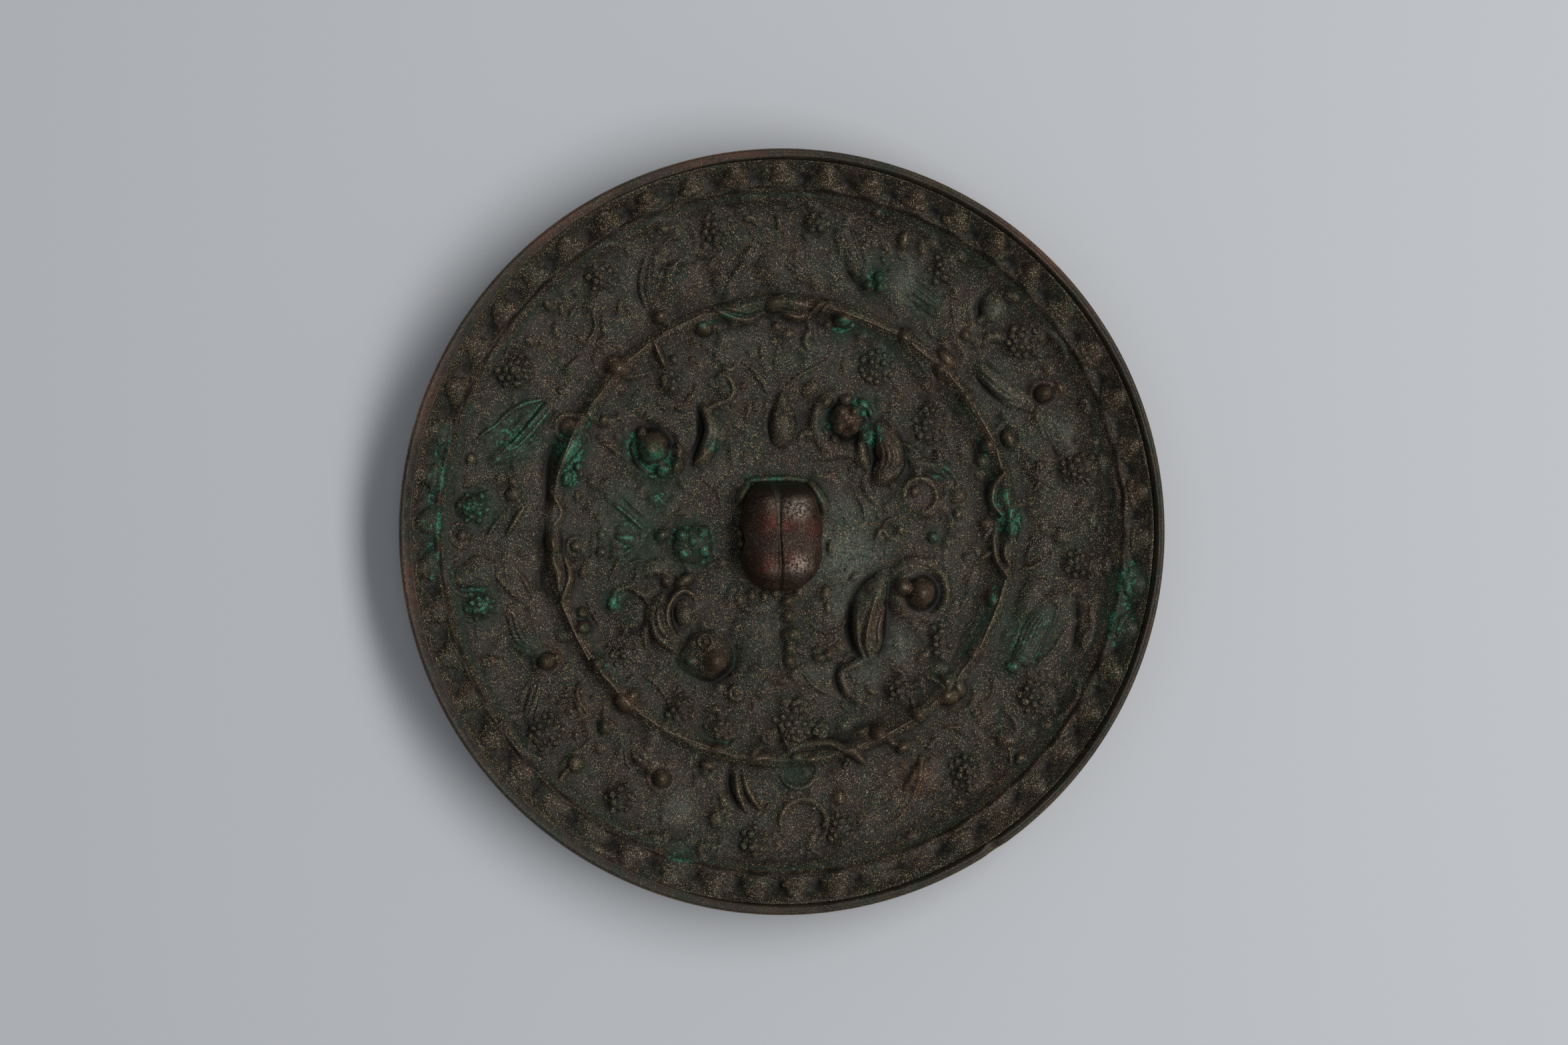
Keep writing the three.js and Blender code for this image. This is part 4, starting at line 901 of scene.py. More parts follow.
@dataclass
class Patina:
    """Where verdigris, pale bloom, worn red metal, sandy earth, a painted sheen and painted shade lie on the
    back.
    """

    # x, y, radius and strength of each patch
    green_spots: Places = (
        (-42.6, 14.8, 4.6, 0.9), (-39.4, 18.6, 3, 0.6), (-33.2, 12.9, 3, 0.9), (-33.6, 8.4, 2, 0.8),
        (-20.2, 10, 3.4, 0.7), (-23.8, 13.4, 2.4, 0.7), (-10, 17.6, 1.3, 0.5), (-10.4, 13.6, 1.5, 0.5),
        (38.6, -16.6, 4.6, 0.8), (41.2, -14.4, 3, 0.7), (36.4, 1.8, 2.4, 0.8), (34.8, 5.2, 1.8, 0.6),
        (13.4, 20.4, 2.4, 0.6), (14.4, 15.4, 2, 0.6), (7, 17.4, 2.4, 0.3), (25.6, 9.6, 1.8, 0.6),
        (16.6, 28, 2.8, 0.4), (-14, -2.1, 4.4, 0.6), (-23.4, -1, 5, 0.6), (-19.2, 4.8, 2.4, 0.7),
        (9.6, 31.2, 1.8, 0.7), (-39.8, -18.2, 2.4, 0.5), (15.2, 41, 4, 0.5), (22.6, 36, 3, 0.5),
        (-47.4, 3.6, 3.6, 0.6), (-47.4, -11.4, 3.6, 0.6), (-26.6, -10.8, 2, 0.8), (-16, -50, 2.6, 0.5),
        (36, -20.6, 2.4, 0.6), (-25.6, 4.6, 3, 0.5), (-4.6, 8.2, 1.8, 0.5), (-1, 8.4, 1.8, 0.4),
        (3, 8.2, 1.8, 0.3), (5.8, 5.4, 1.6, 0.3), (2, -38.2, 3, 0.4), (-5.4, -19, 3.4, 0.3),
        (24.4, -0.6, 2.4, 0.4), (-52.8, 8.6, 2.6, 0.6), (-54.6, 1.2, 2.6, 0.6), (53.4, -14.4, 2.8, 0.7),
        (54.6, -8.2, 2.8, 0.8), (-15, -21.6, 2.4, 0.4),
    )
    # pale bloom; the spot at (-11.5, 15.4), on the back of the upper left beast, is a painted sheen
    haze_spots: Places = (
        (6.4, 5, 1.6, 0.7), (-6.3, 6, 1.4, 0.6), (10.6, -3.6, 5.4, 1), (10.4, -10.6, 3, 0.9),
        (9.4, 3.4, 2.6, 0.7), (18, -18.2, 2.6, 0.7), (13.8, -21.4, 2.4, 0.7), (9.4, 1.6, 3.2, 0.5),
        (14.2, 3, 2.4, 0.4), (6, -22.6, 2.6, 0.4), (27, -22.6, 3, 0.4), (-9.4, 9.6, 3, 0.3),
        (-11.5, 15.4, 1.7, 0.8), (-22.6, 3.6, 4.4, 0.6), (-27, 1.6, 3, 0.5), (20, 38.6, 4.2, 0.6),
        (-16.6, -43.4, 3.4, 0.6), (33.6, 34.8, 2, 0.5), (34.6, 22.8, 3.4, 0.5), (44, 15.6, 3, 0.5),
        (-35.8, 1.8, 1.6, 0.4), (5, 28.4, 3.4, 0.3), (-5, 29.6, 3.4, 0.3), (-2, -13.8, 3, 0.3),
    )
    copper_spots: Places = (
        (21.4, -38.6, 3.6, 0.7), (26.2, 27.2, 2.4, 0.6), (-26.2, 26, 2.6, 0.6), (-25, -27, 2.4, 0.7),
        (26.2, -26.2, 2.6, 0.7), (15.2, -31.8, 2, 0.5), (39.8, -17.6, 2.6, 0.5), (-36.4, -19.4, 2.4, 0.6),
        (-9.4, -31.4, 2.6, 0.3), (41.4, 21.6, 3, 0.5), (-19.4, -39, 2.8, 0.5), (33.4, -40, 3, 0.4),
        (-30.8, -28, 2.4, 0.4), (9.8, 33.4, 1.6, 0.4), (-33.4, 16.4, 1.8, 0.5), (16.6, 12, 3, 0.3),
        (-11, 15.4, 2.6, 0.3), (14.4, -15.4, 2.6, 0.3), (10.3, 17.5, 3, 0.7), (-20.3, 13.1, 2.6, 0.4),
        (22, -9.7, 2.6, 0.5), (-11, -20, 2.4, 0.5),
    )
    green_bands: list[tuple[float, float, Places]] = (
        (1.2, 0.5, [(58, 34.6), (66, 34.4), (75, 34.6)]), (1.2, 0.6, [(150, 35), (158, 35.2), (166, 35)]),
        (1, 0.6, [(158, 52.8), (170, 52.7), (182, 52.7), (200, 52.8)]),
        (1.4, 0.6, [(326, 34.6), (335, 35), (346, 35.2)]), (2.6, 0.7, [(342, 55), (348, 55), (354, 55)]),
        (2.4, 0.6, [(163, 55.2), (174, 55.2), (186, 55.2)]), (1.2, 0.4, [(96, 35), (104, 35), (112, 35)]),
        (1.2, 0.35, [(200, 34.6), (212, 34.6), (224, 34.6)]),
        (1.2, 0.35, [(14, 34.4), (26, 34.6), (40, 34.6)]), (1, 0.3, [(236, 34.6), (248, 34.6), (260, 34.6)]),
        (0.9, 0.35, [(0, 53), (30, 53), (60, 53), (90, 53), (120, 53), (150, 53)]),
        (0.9, 0.35, [(200, 53), (230, 53), (260, 53), (290, 53), (320, 53), (350, 53)]),
    )

    def paint(self, relief: Relief) -> None:
        """Writes the masks of colour onto the grid."""
        places = {"green": self.green_spots, "haze": self.haze_spots, "copper": self.copper_spots}
        for name, spots in places.items():
            for place in spots:
                relief.spot(name, *place)
        for width, strength, places in self.green_bands:
            relief.stripe("green", polar_line(places), width, strength)
        # a round mark under each bunch, turned into painted shade between the berries
        for x, y in relief.bunch_places:
            relief.spot("bunch", x, y, 2.6)
        for deg in Border().angles():
            fade = float(smooth_step(100, 130, np.array(deg % 360)))
            relief.spot("ochre", *polar(deg, 56), 1.7, 0.95 - 0.4 * fade)
        radius = relief.radii()
        line = 0.8 * np.exp(-(((radius - BORDER_RADIUS) / 0.6) ** 2))
        relief.masks["ochre"] = np.maximum(relief.masks["ochre"], line)
        relief.masks["tan"] = 0.1 * smooth_step(35.5, 38.5, radius) + 0.1 * smooth_step(53, 55, radius)


@dataclass
class Casting:
    """The whole back on one grid: its bare profile, its figures and the marks of casting."""

    profile: Profile = field(default_factory=Profile)
    border: Border = field(default_factory=Border)
    vine: VineRing = field(default_factory=VineRing)
    outer: OuterField = field(default_factory=OuterField)
    inner: InnerField = field(default_factory=InnerField)
    leafage: Leafage = field(default_factory=Leafage)
    patina: Patina = field(default_factory=Patina)
    grain: float = 0.005
    waves: Places = ((5, 0.014), (12, 0.05), (30, 0.12))
    pits: int = 900

    def relief(self) -> Relief:
        """Carves every zone and returns the finished grid."""
        relief = Relief()
        rng = np.random.default_rng(SEED)
        for zone in (self.leafage, self.border, self.vine, self.outer, self.inner):
            zone.carve(relief, rng)
        self.patina.paint(relief)
        radius = relief.radii()
        drift = blurred(rng.standard_normal(radius.shape, np.float32), 26)
        bare = blurred(self.profile.heights(radius + 0.14 * drift / drift.std()).astype(np.float32), 1.6)
        worn = blurred(rng.standard_normal(radius.shape, np.float32), 13)
        kept = np.clip(0.98 + 0.2 * worn / worn.std(), 0.45, 1.25)
        cast = relief.figures * kept - blurred(relief.cuts, 0.8)
        cast = 0.68 * blurred(cast, 1.4) + 0.32 * blurred(cast, 6) + 0.2 * blurred(cast, 20)
        cast *= 1.65 + 0.2 * smooth_step(37, 40, radius) - 0.65 * smooth_step(51.5, 53.5, radius)
        rough = self.roughness(relief, rng)
        relief.surface = bare + cast + rough
        smooth = bare + cast + 0.6 * rough
        # crest: convex edges and tall forms; its high side is laid on as wear and a painted highlight, its
        # low side as painted shade
        curve = (smooth - blurred(smooth, 7)) / 0.6
        high = 0.25 * smooth_step(2.6, 4.2, cast)
        ridge = 0.7 * np.exp(-(((radius - BORDER_RADIUS) / 0.45) ** 2)) + 0.4 * relief.masks["ochre"]
        relief.masks["crest"] = np.clip(curve + high - ridge * (curve > -0.1), -1, 1)
        # painted shade in recesses and in the bed under each bunch, as the deep mask
        deep = np.clip((blurred(smooth, 14) - smooth) / 0.62, 0, 1)
        relief.masks["deep"] = np.maximum(deep, 0.7 * relief.masks.pop("bunch"))
        log.info("relief: %d x %d cells", relief.count, relief.count)
        return relief

    def roughness(self, relief: Relief, rng: Generator) -> Array:
        """The skin of the casting: grain, slow waves and small pits."""
        shape = relief.figures.shape
        fine = blurred(rng.standard_normal(shape, np.float32), 1.2)
        rough = self.grain * fine / fine.std()
        for cells, height in self.waves:
            slow = blurred(rng.standard_normal(shape, np.float32), cells)
            rough += height * slow / slow.std()
        places = rng.uniform(-relief.HALF, relief.HALF, (self.pits, 2))
        for (px, py), size in zip(places, rng.uniform(0.15, 0.45, self.pits)):
            part, u, v = relief.turned(px, py, size, 0)
            away = np.hypot(u, v) / size
            rough[part] -= 0.35 * size * np.clip(1 - away, 0, 1)
        return rough


# ---- meshes ----


def to_metres(points: Array) -> Array:
    """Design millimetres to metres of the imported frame."""
    return points * MM + np.array([CENTRE_X, CENTRE_Y, CAD_LOW[2]])


def new_object(name: str, points: Array, faces: list, smooth: bool = True,
               values: dict[str, Array] | None = None) -> Piece:
    """Makes a mesh object from design points.

    Args:
        name: The object's name.
        points: One row of x, y and z in millimetres for each vertex.
        faces: Lists of vertex numbers, anticlockwise from outside.
        smooth: Whether its faces are shaded smooth.
        values: Named values, one for each vertex, that its material reads.

    Returns:
        The object, linked to the scene.
    """
    mesh = bpy.data.meshes.new(name)
    mesh.from_pydata(to_metres(points).tolist(), [], faces)
    mesh.polygons.foreach_set("use_smooth", [smooth] * len(mesh.polygons))
    for key, data in (values or {}).items():
        layer = mesh.attributes.new(key, "FLOAT", "POINT")
        layer.data.foreach_set("value", np.asarray(data, np.float32))
    mesh.update()
    return linked(name, mesh)


def linked(name: str, data: bpy.types.ID) -> Piece:
    """A new object for a mesh, a light or a camera, linked to the scene."""
    made = bpy.data.objects.new(name, data)
    bpy.context.scene.collection.objects.link(made)
    return made


def row_ids(rows: int, columns: int) -> Array:
    """The numbers of vertices that stand in rows, row by row."""
    return np.arange(rows * columns).reshape(rows, columns)


def around(count: int) -> Array:
    """Angles in radians that part a full turn evenly."""
    return np.linspace(0, TURN, count, endpoint=False)


def loop_faces(first: Array, second: Array) -> list:
    """Faces between two closed loops, facing outward when the second lies under the first."""
    return np.stack([first, second, np.roll(second, -1), np.roll(first, -1)], axis=1).tolist()


def ring_grid_faces(ids: Array) -> Array:
    """Faces of a grid whose rows are closed loops, each row outside the one before."""
    after = np.roll(ids, -1, axis=1)
    return np.stack([ids[:-1], ids[1:], after[1:], after[:-1]], axis=-1).reshape(-1, 4)


@dataclass
class Patch:
    """A closed piece of the back whose upper side follows the relief."""

    name: str
    inner: float
    outer: float
    spacing: float = 0.19

    def build(self, relief: Relief) -> Piece:
        """Makes the piece: a ring, or a whole disc where inner is 0."""
        return self.disc(relief) if self.inner == 0 else self.annulus(relief)

    def annulus(self, relief: Relief) -> Piece:
        """A ring with a relief on top, two walls and a flat underside."""
        rows = max(3, round((self.outer - self.inner) / self.spacing)) + 1
        columns = round(TURN * (0.7 * self.outer + 0.3 * self.inner) / self.spacing)
        radii = np.linspace(self.inner, self.outer, rows)[:, None]
        angles = around(columns)[None, :]
        x, y = radii * np.cos(angles), radii * np.sin(angles)
        ids = row_ids(rows, columns)
        inner_low = rows * columns + np.arange(columns)
        outer_low = inner_low + columns
        faces = ring_grid_faces(ids).tolist() + loop_faces(ids[-1], outer_low)
        faces += loop_faces(inner_low, ids[0]) + loop_faces(outer_low, inner_low)
        low = [np.stack([x[k], y[k]], axis=1) for k in (0, -1)]
        return self.finish(relief, x, y, np.vstack(low), faces)

    def disc(self, relief: Relief) -> Piece:
        """A disc with a relief on top, made from a square grid drawn out to a circle."""
        count = round(2 * self.outer / self.spacing) + 1
        u, v = np.meshgrid(np.linspace(-1, 1, count), np.linspace(-1, 1, count))
        x = self.outer * u * np.sqrt(1 - v * v / 2)
        y = self.outer * v * np.sqrt(1 - u * u / 2)
        ids = row_ids(count, count)
        corners = [ids[:-1, :-1], ids[:-1, 1:], ids[1:, 1:], ids[1:, :-1]]
        faces = np.stack(corners, axis=-1).reshape(-1, 4).tolist()
        edge = np.concatenate([ids[0, :-1], ids[:-1, -1], ids[-1, :0:-1], ids[:0:-1, 0]])
        low = count * count + np.arange(len(edge))
        faces += loop_faces(edge, low)
        faces.append(low[::-1].tolist())
        return self.finish(relief, x, y, np.stack([x.ravel()[edge], y.ravel()[edge]], axis=1), faces)

    def finish(self, relief: Relief, x: Array, y: Array, low: Array, faces: list) -> Piece:
        """Gives the points their heights, masks and normals.

        Args:
            relief: The finished grid.
            x: The upper points' x, row by row.
            y: Their y.
            low: The x and y of the points of the underside.
            faces: All faces, over the upper points and then the lower ones.

        Returns:
            The finished object.
        """
        x, y = x.ravel(), y.ravel()
        top = np.stack([x, y, relief.at(relief.surface, x, y)], axis=1)
        below = np.column_stack([low, np.full(len(low), CORE_HEIGHT)])
        none = np.zeros(len(low))
        values = {key: np.concatenate([data, none]) for key, data in relief.masks_at(MASKS, x, y).items()}
        made = new_object(self.name, np.vstack([top, below]), faces, values=values)
        step, level = relief.STEP, relief.surface
        rise_x = (relief.at(level, x + step, y) - relief.at(level, x - step, y)) / (2 * step)
        rise_y = (relief.at(level, x, y + step) - relief.at(level, x, y - step)) / (2 * step)
        upper = np.stack([-rise_x, -rise_y, np.ones_like(x)], axis=1)
        upper /= np.linalg.norm(upper, axis=1)[:, None]
        normals = np.vstack([upper, np.tile([0, 0, -1.0], (len(low), 1))])
        made.data.normals_split_custom_set_from_vertices(normals.tolist())
        return made


@dataclass
class Rim:
    """The outer rim with its narrow lip, worn low on one side."""

    columns: int = 760
    foot: float = 0.72
    # degrees, reach and depth of each worn stretch
    worn: Places = ((240, 14, 0.34), (303.5, 1.2, 0.5), (118, 18, 0.08), (187, 10, 0.1))
    # degrees, reach and strength of each stretch of red metal
    red: Places = ((100, 8, 1), (125, 9, 1), (188, 5, 1), (48, 8, 1), (160, 5, 1))

    def section(self) -> Array:
        """The rim's closed cross section as (radius, height) rows, clockwise from inside."""
        inside = [(57.7, 5.5), (58.1, 8.5), (58.35, 9.6), (58.6, 10.2)]
        lip = [(58.76, 10.7), (58.9, 10.9), (59.05, 10.96), (59.2, 10.92), (59.32, 10.97), (59.5, 11.0)]
        outside = [(59.74, 10.94), (59.9, 10.72), (59.97, 10.4), (60.0, 9.8), (59.94, 7.5), (59.86, 4.5)]
        under = [(59.78, 1.7), (59.68, 1.05), (59.45, 0.78), (58.9, self.foot), (57.7, self.foot)]
        return smooth_line([*inside, *lip, *outside, *under], 0.16)[:, :2]

    def stretches(self, angles: Array, places: Places) -> Array:
        """Soft swells round the rim at the given places."""
        total = np.zeros(self.columns)
        for middle, reach, strength in places:
            away = (angles - middle + 180) % 360 - 180
            total = np.maximum(total, strength * np.exp(-((away / reach) ** 2)))
        return total

    def build(self) -> Piece:
        """Turns the section round, with the lip's wear and waver."""
        section = self.section()
        rng = np.random.default_rng(SEED + 1)
        angles = np.linspace(0, 360, self.columns, endpoint=False)
        waver = self.waver(rng)
        wear = self.stretches(angles, self.worn)
        near_lip = smooth_step(9.0, 10.9, section[:, 1])[:, None]
        inside_half = (section[:, 0] < 59.2)[:, None]
        left = 0.75 * smooth_step(60, 150, np.minimum(angles, 360 - angles))
        shift = np.where(inside_half, 0.1 * waver - 0.9 * wear - left, -0.35 * wear)
        radius = section[:, :1] + near_lip * shift
        height = section[:, 1:] - near_lip * (wear + 0.05 * np.abs(waver))
        height = height - near_lip * 0.02 * np.abs(rng.standard_normal((len(section), self.columns)))
        rad = np.radians(angles)[None, :]
        points = np.stack([radius * np.cos(rad), radius * np.sin(rad), height], axis=-1).reshape(-1, 3)
        ids = row_ids(len(section), self.columns)
        faces = ring_grid_faces(ids).tolist() + loop_faces(ids[-1], ids[0])
        return new_object("rim", points, faces, values=self.values(section, angles, rng))

    def waver(self, rng: Generator) -> Array:
        """A slow random wobble round the rim, about one unit each way."""
        angles = around(self.columns)
        total = np.zeros(self.columns)
        for waves in (3, 7, 12, 23, 41, 80):
            total += np.sin(waves * angles + rng.uniform(0, 6.28)) / math.sqrt(waves / 3)
        return total / 2

    def values(self, section: Array, angles: Array, rng: Generator) -> dict[str, Array]:
        """The masks of the rim's material: two worn edges, red patches and an even sandy tone."""
        arris = np.exp(-(((section[:, 0] - 59.88) / 0.09) ** 2)) * (section[:, 1] > 10)
        inner = np.exp(-(((section[:, 0] - 58.8) / 0.1) ** 2)) * (section[:, 1] > 10)
        gold = 0.75 + 0.25 * self.waver(rng)
        crest = np.clip(arris[:, None] * gold + 0.45 * inner[:, None] * (0.6 + 0.4 * self.waver(rng)), 0, 1)
        flat = ((section[:, 0] > 58.9) & (section[:, 1] > 10.5)).astype(float)
        copper = flat[:, None] * self.stretches(angles, self.red)[None, :]
        blank = np.zeros_like(crest).ravel()
        return {"crest": crest.ravel(), "copper": copper.ravel(), "tan": blank + 0.3}


@dataclass
class ReflectingFace:
    """The polished side, turned down: flat in the middle and slightly convex."""

    flat_radius: float = 20.0
    rise: float = 0.7
    radius: float = 59.2
    rings: int = 40
    columns: int = 180

    def build(self) -> Piece:
        """A shallow closed dish with a flat middle that the mirror rests on."""
        radii = np.linspace(0, self.radius, self.rings + 1)[1:]
        depth = self.rise * np.clip((radii - self.flat_radius) / (60 - self.flat_radius), 0, 1) ** 1.3
        angles = around(self.columns)
        across = np.stack([np.cos(angles), np.sin(angles)], axis=1)
        rows = [np.column_stack([r * across, np.full(self.columns, z)]) for r, z in zip(radii, depth)]
        rows.append(np.column_stack([self.radius * across, np.full(self.columns, CORE_HEIGHT + 0.2)]))
        ids = row_ids(len(rows), self.columns)
        faces = [*ring_grid_faces(ids)[:, ::-1].tolist(), ids[0][::-1].tolist(), ids[-1].tolist()]
        return new_object("reflecting_face", np.vstack(rows), faces)


@dataclass
class Knob:
    """The crouching beast in the middle, with a cord hole from side to side."""

    x: float = -0.3
    y: float = -0.5
    base: float = 2.6
    top: float = 10.35
    ceiling: float = 10.75
    rings: int = 90
    columns: int = 240
    hole_y: float = -1.5
    hole_width: float = 5.0
    hole_top: float = 7.75
    squareness: float = 3.0
    # x, y, half width, half length and height of the shoulders and haunches
    lobes: Places = (
        (-2.9, 3, 2.3, 3, 0.5), (2.3, 3.3, 2.4, 2.8, 0.75),
        (-2.9, -5.4, 2.3, 2.8, 0.6), (2.6, -5.7, 2.5, 2.4, 0.85),
    )
    # x, y, radius and strength of the red metal, then of the painted highlights, where the bronze is also
    # most metallic
    red: Places = (
        (-2.4, 1.2, 2.2, 1), (0.8, 1, 1.3, 1), (-2.8, -5.4, 2, 1), (1.2, -4.4, 1.2, 1), (5.2, 0.4, 1.6, 1),
    )
    glint: Places = ((2.4, 3.7, 2.4, 1), (2.7, -5.6, 2.4, 1), (-1.8, 4.2, 1.4, 0.5), (-1.8, -6.2, 1.8, 0.5))

    def outline(self, angle: Array) -> Array:
        """The knob's radius in plan towards each angle."""
        c, s = np.abs(np.cos(angle)), np.sin(angle)
        half = np.where(np.cos(angle) < 0, 6.65, 6.95) * (1 - 0.22 * np.clip(s, 0, 1) ** 1.3)
        length = np.where(s > 0, 8.5, 8.9)
        power = np.where(s > 0, self.squareness + 1.5, self.squareness - 0.5)
        return (np.abs(c / half) ** power + np.abs(s / length) ** power) ** (-1 / power)

    def spine(self, x: Array, y: Array, widths: list[float], power: int) -> Array:
        """1 along the groove of the back, and 0 away from it.

        Args:
            x: The points' x.
            y: The points' y.
            widths: The groove's half width at five places from the rump to the neck.
            power: How steep its sides are.

        Returns:
            The share at each point.
        """
        middle = np.interp(y, [-9, -5, 0, 5, 8], [-0.4, -0.35, -0.6, -0.7, -0.75])
        return np.exp(-((np.abs(x - middle) / np.interp(y, [-9, -4, 0, 4, 8], widths)) ** power))

    def shape(self, x: Array, y: Array) -> Array:
        """How far the modelling raises or lowers the dome at each point."""
        spine = np.interp(y, [-9, -4, 0, 4, 8], [0.7, 0.5, 0.32, 0.6, 0.8])
        spine = spine * self.spine(x, y, [0.4, 0.3, 0.22, 0.45, 0.75], 3)
        waist = 0.3 * np.exp(-(((y + 1.0) / 1.4) ** 2)) * smooth_step(0.3, 2.5, np.abs(x))
        lobes = 0.0
        for lx, ly, wide, long, rise in self.lobes:
            lobes = lobes + rise * np.exp(-(((x - lx) / wide) ** 2) - ((y - ly) / long) ** 2)
        notch = 1.6 * np.exp(-(((x - 4.1) / 0.7) ** 2) - ((y + 7.9) / 0.9) ** 2)
        neck = 1.5 * smooth_step(5.2, 7.6, y)
        rump = 0.9 * smooth_step(6.2, 8.8, -y)
        left = 0.7 * smooth_step(1.5, 6.0, -x)
        return lobes - spine - waist - notch - neck - rump - left

    def masks(self, x: Array, y: Array, rise: Array) -> dict[str, Array]:
        """The values its bronze reads.

        Args:
            x: The points' x.
            y: The points' y.
            rise: How far up the dome each point is, 0 to 1.

        Returns:
            The named values.
        """
        def patches(places: Places) -> Array:
            found = [k * np.exp(-(((x - cx) ** 2 + (y - cy) ** 2) / size**2)) for cx, cy, size, k in places]
            return np.clip(sum(found), 0, 1)

        spine = self.spine(x, y, [0.45, 0.32, 0.26, 0.5, 0.85], 4)
        edge = smooth_step(0.78, 0.4, rise)
        waist = np.exp(-(((y + 1.0) / 1.5) ** 2))
        left = 0.6 * smooth_step(1.5, 5.0, -x)
        # painted shade, laid on as deep: darker on the steep edges, the neck end and the left side, and
        # across the waist
        dark = np.maximum.reduce([0.7 * edge, smooth_step(5.0, 7.0, y), left, 0.5 * waist])
        return {
            # painted highlights on the lobes, laid on as crest
            "crest": patches(self.glint),
            "copper": patches(self.red),
            "haze": 0.9 * spine * smooth_step(-7, 3, y),
            "deep": dark * 0.8,
            "green": 0.5 * smooth_step(6.4, 7.6, y),
            "tan": 0 * x,
            "ochre": 0.8 * edge,
        }

    def build(self) -> Piece:
        """The domed body with its grooves, its cord hole cut through."""
        rng = np.random.default_rng(SEED + 2)
        share = np.linspace(0, 1, self.rings + 1)[1:]
        angles = around(self.columns)
        plan = np.sin(share * math.pi / 2) ** 0.95
        rise = np.cos(share * math.pi / 2) ** 0.4
        reach = self.outline(angles)
        x = self.x + plan[:, None] * reach[None, :] * np.cos(angles)
        y = self.y + plan[:, None] * reach[None, :] * np.sin(angles)
        bumps = self.shape(x, y) * smooth_step(0.0, 0.3, rise)[:, None]
        z = np.clip(self.base + (self.top - self.base) * rise[:, None] + bumps, self.base, self.ceiling)
        rows = np.stack([x, y, z], axis=-1)
        crown = self.top + float(self.shape(np.array(self.x), np.array(self.y)))
        points = np.vstack([rows.reshape(-1, 3), [[self.x, self.y, crown]]])
        ids = row_ids(self.rings, self.columns)
        faces = ring_grid_faces(ids).tolist()
        middle = len(points) - 1
        faces += [[middle, int(a), int(b)] for a, b in zip(ids[0], np.roll(ids[0], -1))]
        faces.append(ids[-1][::-1].tolist())
        noise = rng.standard_normal(len(points))
        points[:, 2] += 0.01 * noise * (points[:, 2] > self.base + 0.5)
        height = np.append(np.repeat(rise, self.columns), 1.0)
        body = new_object("knob", points, faces, values=self.masks(points[:, 0], points[:, 1], height))
        self.cut_hole(body)
        return body

    def cut_hole(self, body: Piece) -> None:
        """Cuts the arched tunnel through the body."""
        half = self.hole_width / 2
        floor = self.base - 1
        spring = self.hole_top - half
        arch = [(half * math.cos(a), spring + half * math.sin(a)) for a in np.linspace(0, math.pi, 25)]
        outline = [(half, floor), *arch, (-half, floor)]
        stations = ((-10, 1.02), (-7.2, 1), (-5.2, 1), (0, 0.98), (5.2, 1), (7.2, 1), (10, 1.02))
        points = [
            (x, self.hole_y + k * y, spring + (z - spring) * k) for x, k in stations for y, z in outline
        ]
        count = len(outline)
        faces = [list(range(count)), [len(points) - 1 - i for i in range(count)]]
        for row in range(len(stations) - 1):
            a = row * count
            for i in range(count):
                j = (i + 1) % count
                faces.append([a + i, a + count + i, a + count + j, a + j])
        cutter = new_object("cord_hole_cutter", np.array(points), faces)
        repair = bmesh.new()
        repair.from_mesh(cutter.data)
        bmesh.ops.recalc_face_normals(repair, faces=repair.faces)
        repair.to_mesh(cutter.data)
        repair.free()
        cut = body.modifiers.new("cord hole", "BOOLEAN")
        cut.operation, cut.solver, cut.object = "DIFFERENCE", "EXACT", cutter
        apply_modifiers(body)
        bpy.data.objects.remove(cutter)


def apply_modifiers(target: Piece) -> None:
    """Replaces an object's mesh by the result of its modifiers, and removes them."""
    bpy.context.view_layer.update()
    evaluated = target.evaluated_get(bpy.context.evaluated_depsgraph_get())
    result = bpy.data.meshes.new_from_object(evaluated)
    target.modifiers.clear()
    old = target.data
    target.data = result
    result.name = target.name
    if isinstance(old, bpy.types.Mesh):
        bpy.data.meshes.remove(old)


# ---- what repeats or follows a path, with Geometry Nodes ----


class NodeTree:
    """A tree of nodes that is put together step by step."""

    def __init__(self, tree: bpy.types.NodeTree, prefix: str) -> None:
        """Takes an empty tree, and how the names of its own kinds of node begin."""
        self.tree, self.prefix = tree, prefix

    def put(self, socket: Socket, value: Socket | float | tuple) -> None:
        """Links or sets a socket."""
        if isinstance(value, Socket):
            self.tree.links.new(value, socket)
        else:
            socket.default_value = value

    def node(self, kind: str, settings: dict | None = None, **inputs) -> bpy.types.Node:
        """Adds a node.

        Args:
            kind: Its type, without the tree's own prefix or full for other kinds.
            settings: Its properties.
            inputs: Sockets or values for its inputs, by name with _ for a space.

        Returns:
            The new node.
        """
        full = kind if kind.startswith(("Shader", "Function")) else self.prefix + kind
        made = self.tree.nodes.new(full)
        for key, value in (settings or {}).items():
            setattr(made, key, value)
        for key, value in inputs.items():
            self.put(made.inputs[key.replace("_", " ")], value)
        return made

    def maths(self, operation: str, first: Socket | float, second: Socket | float) -> Socket:
        """Two numbers combined by a Math node's operation, not clamped."""
        made = self.node("ShaderNodeMath", {"operation": operation})
        self.put(made.inputs[0], first)
        self.put(made.inputs[1], second)
        return made.outputs["Value"]

    def times(self, first: Socket | float, second: Socket | float) -> Socket:
        """The product of two numbers."""
        return self.maths("MULTIPLY", first, second)

    def plus(self, first: Socket | float, second: Socket | float) -> Socket:
        """The sum of two numbers."""
        return self.maths("ADD", first, second)


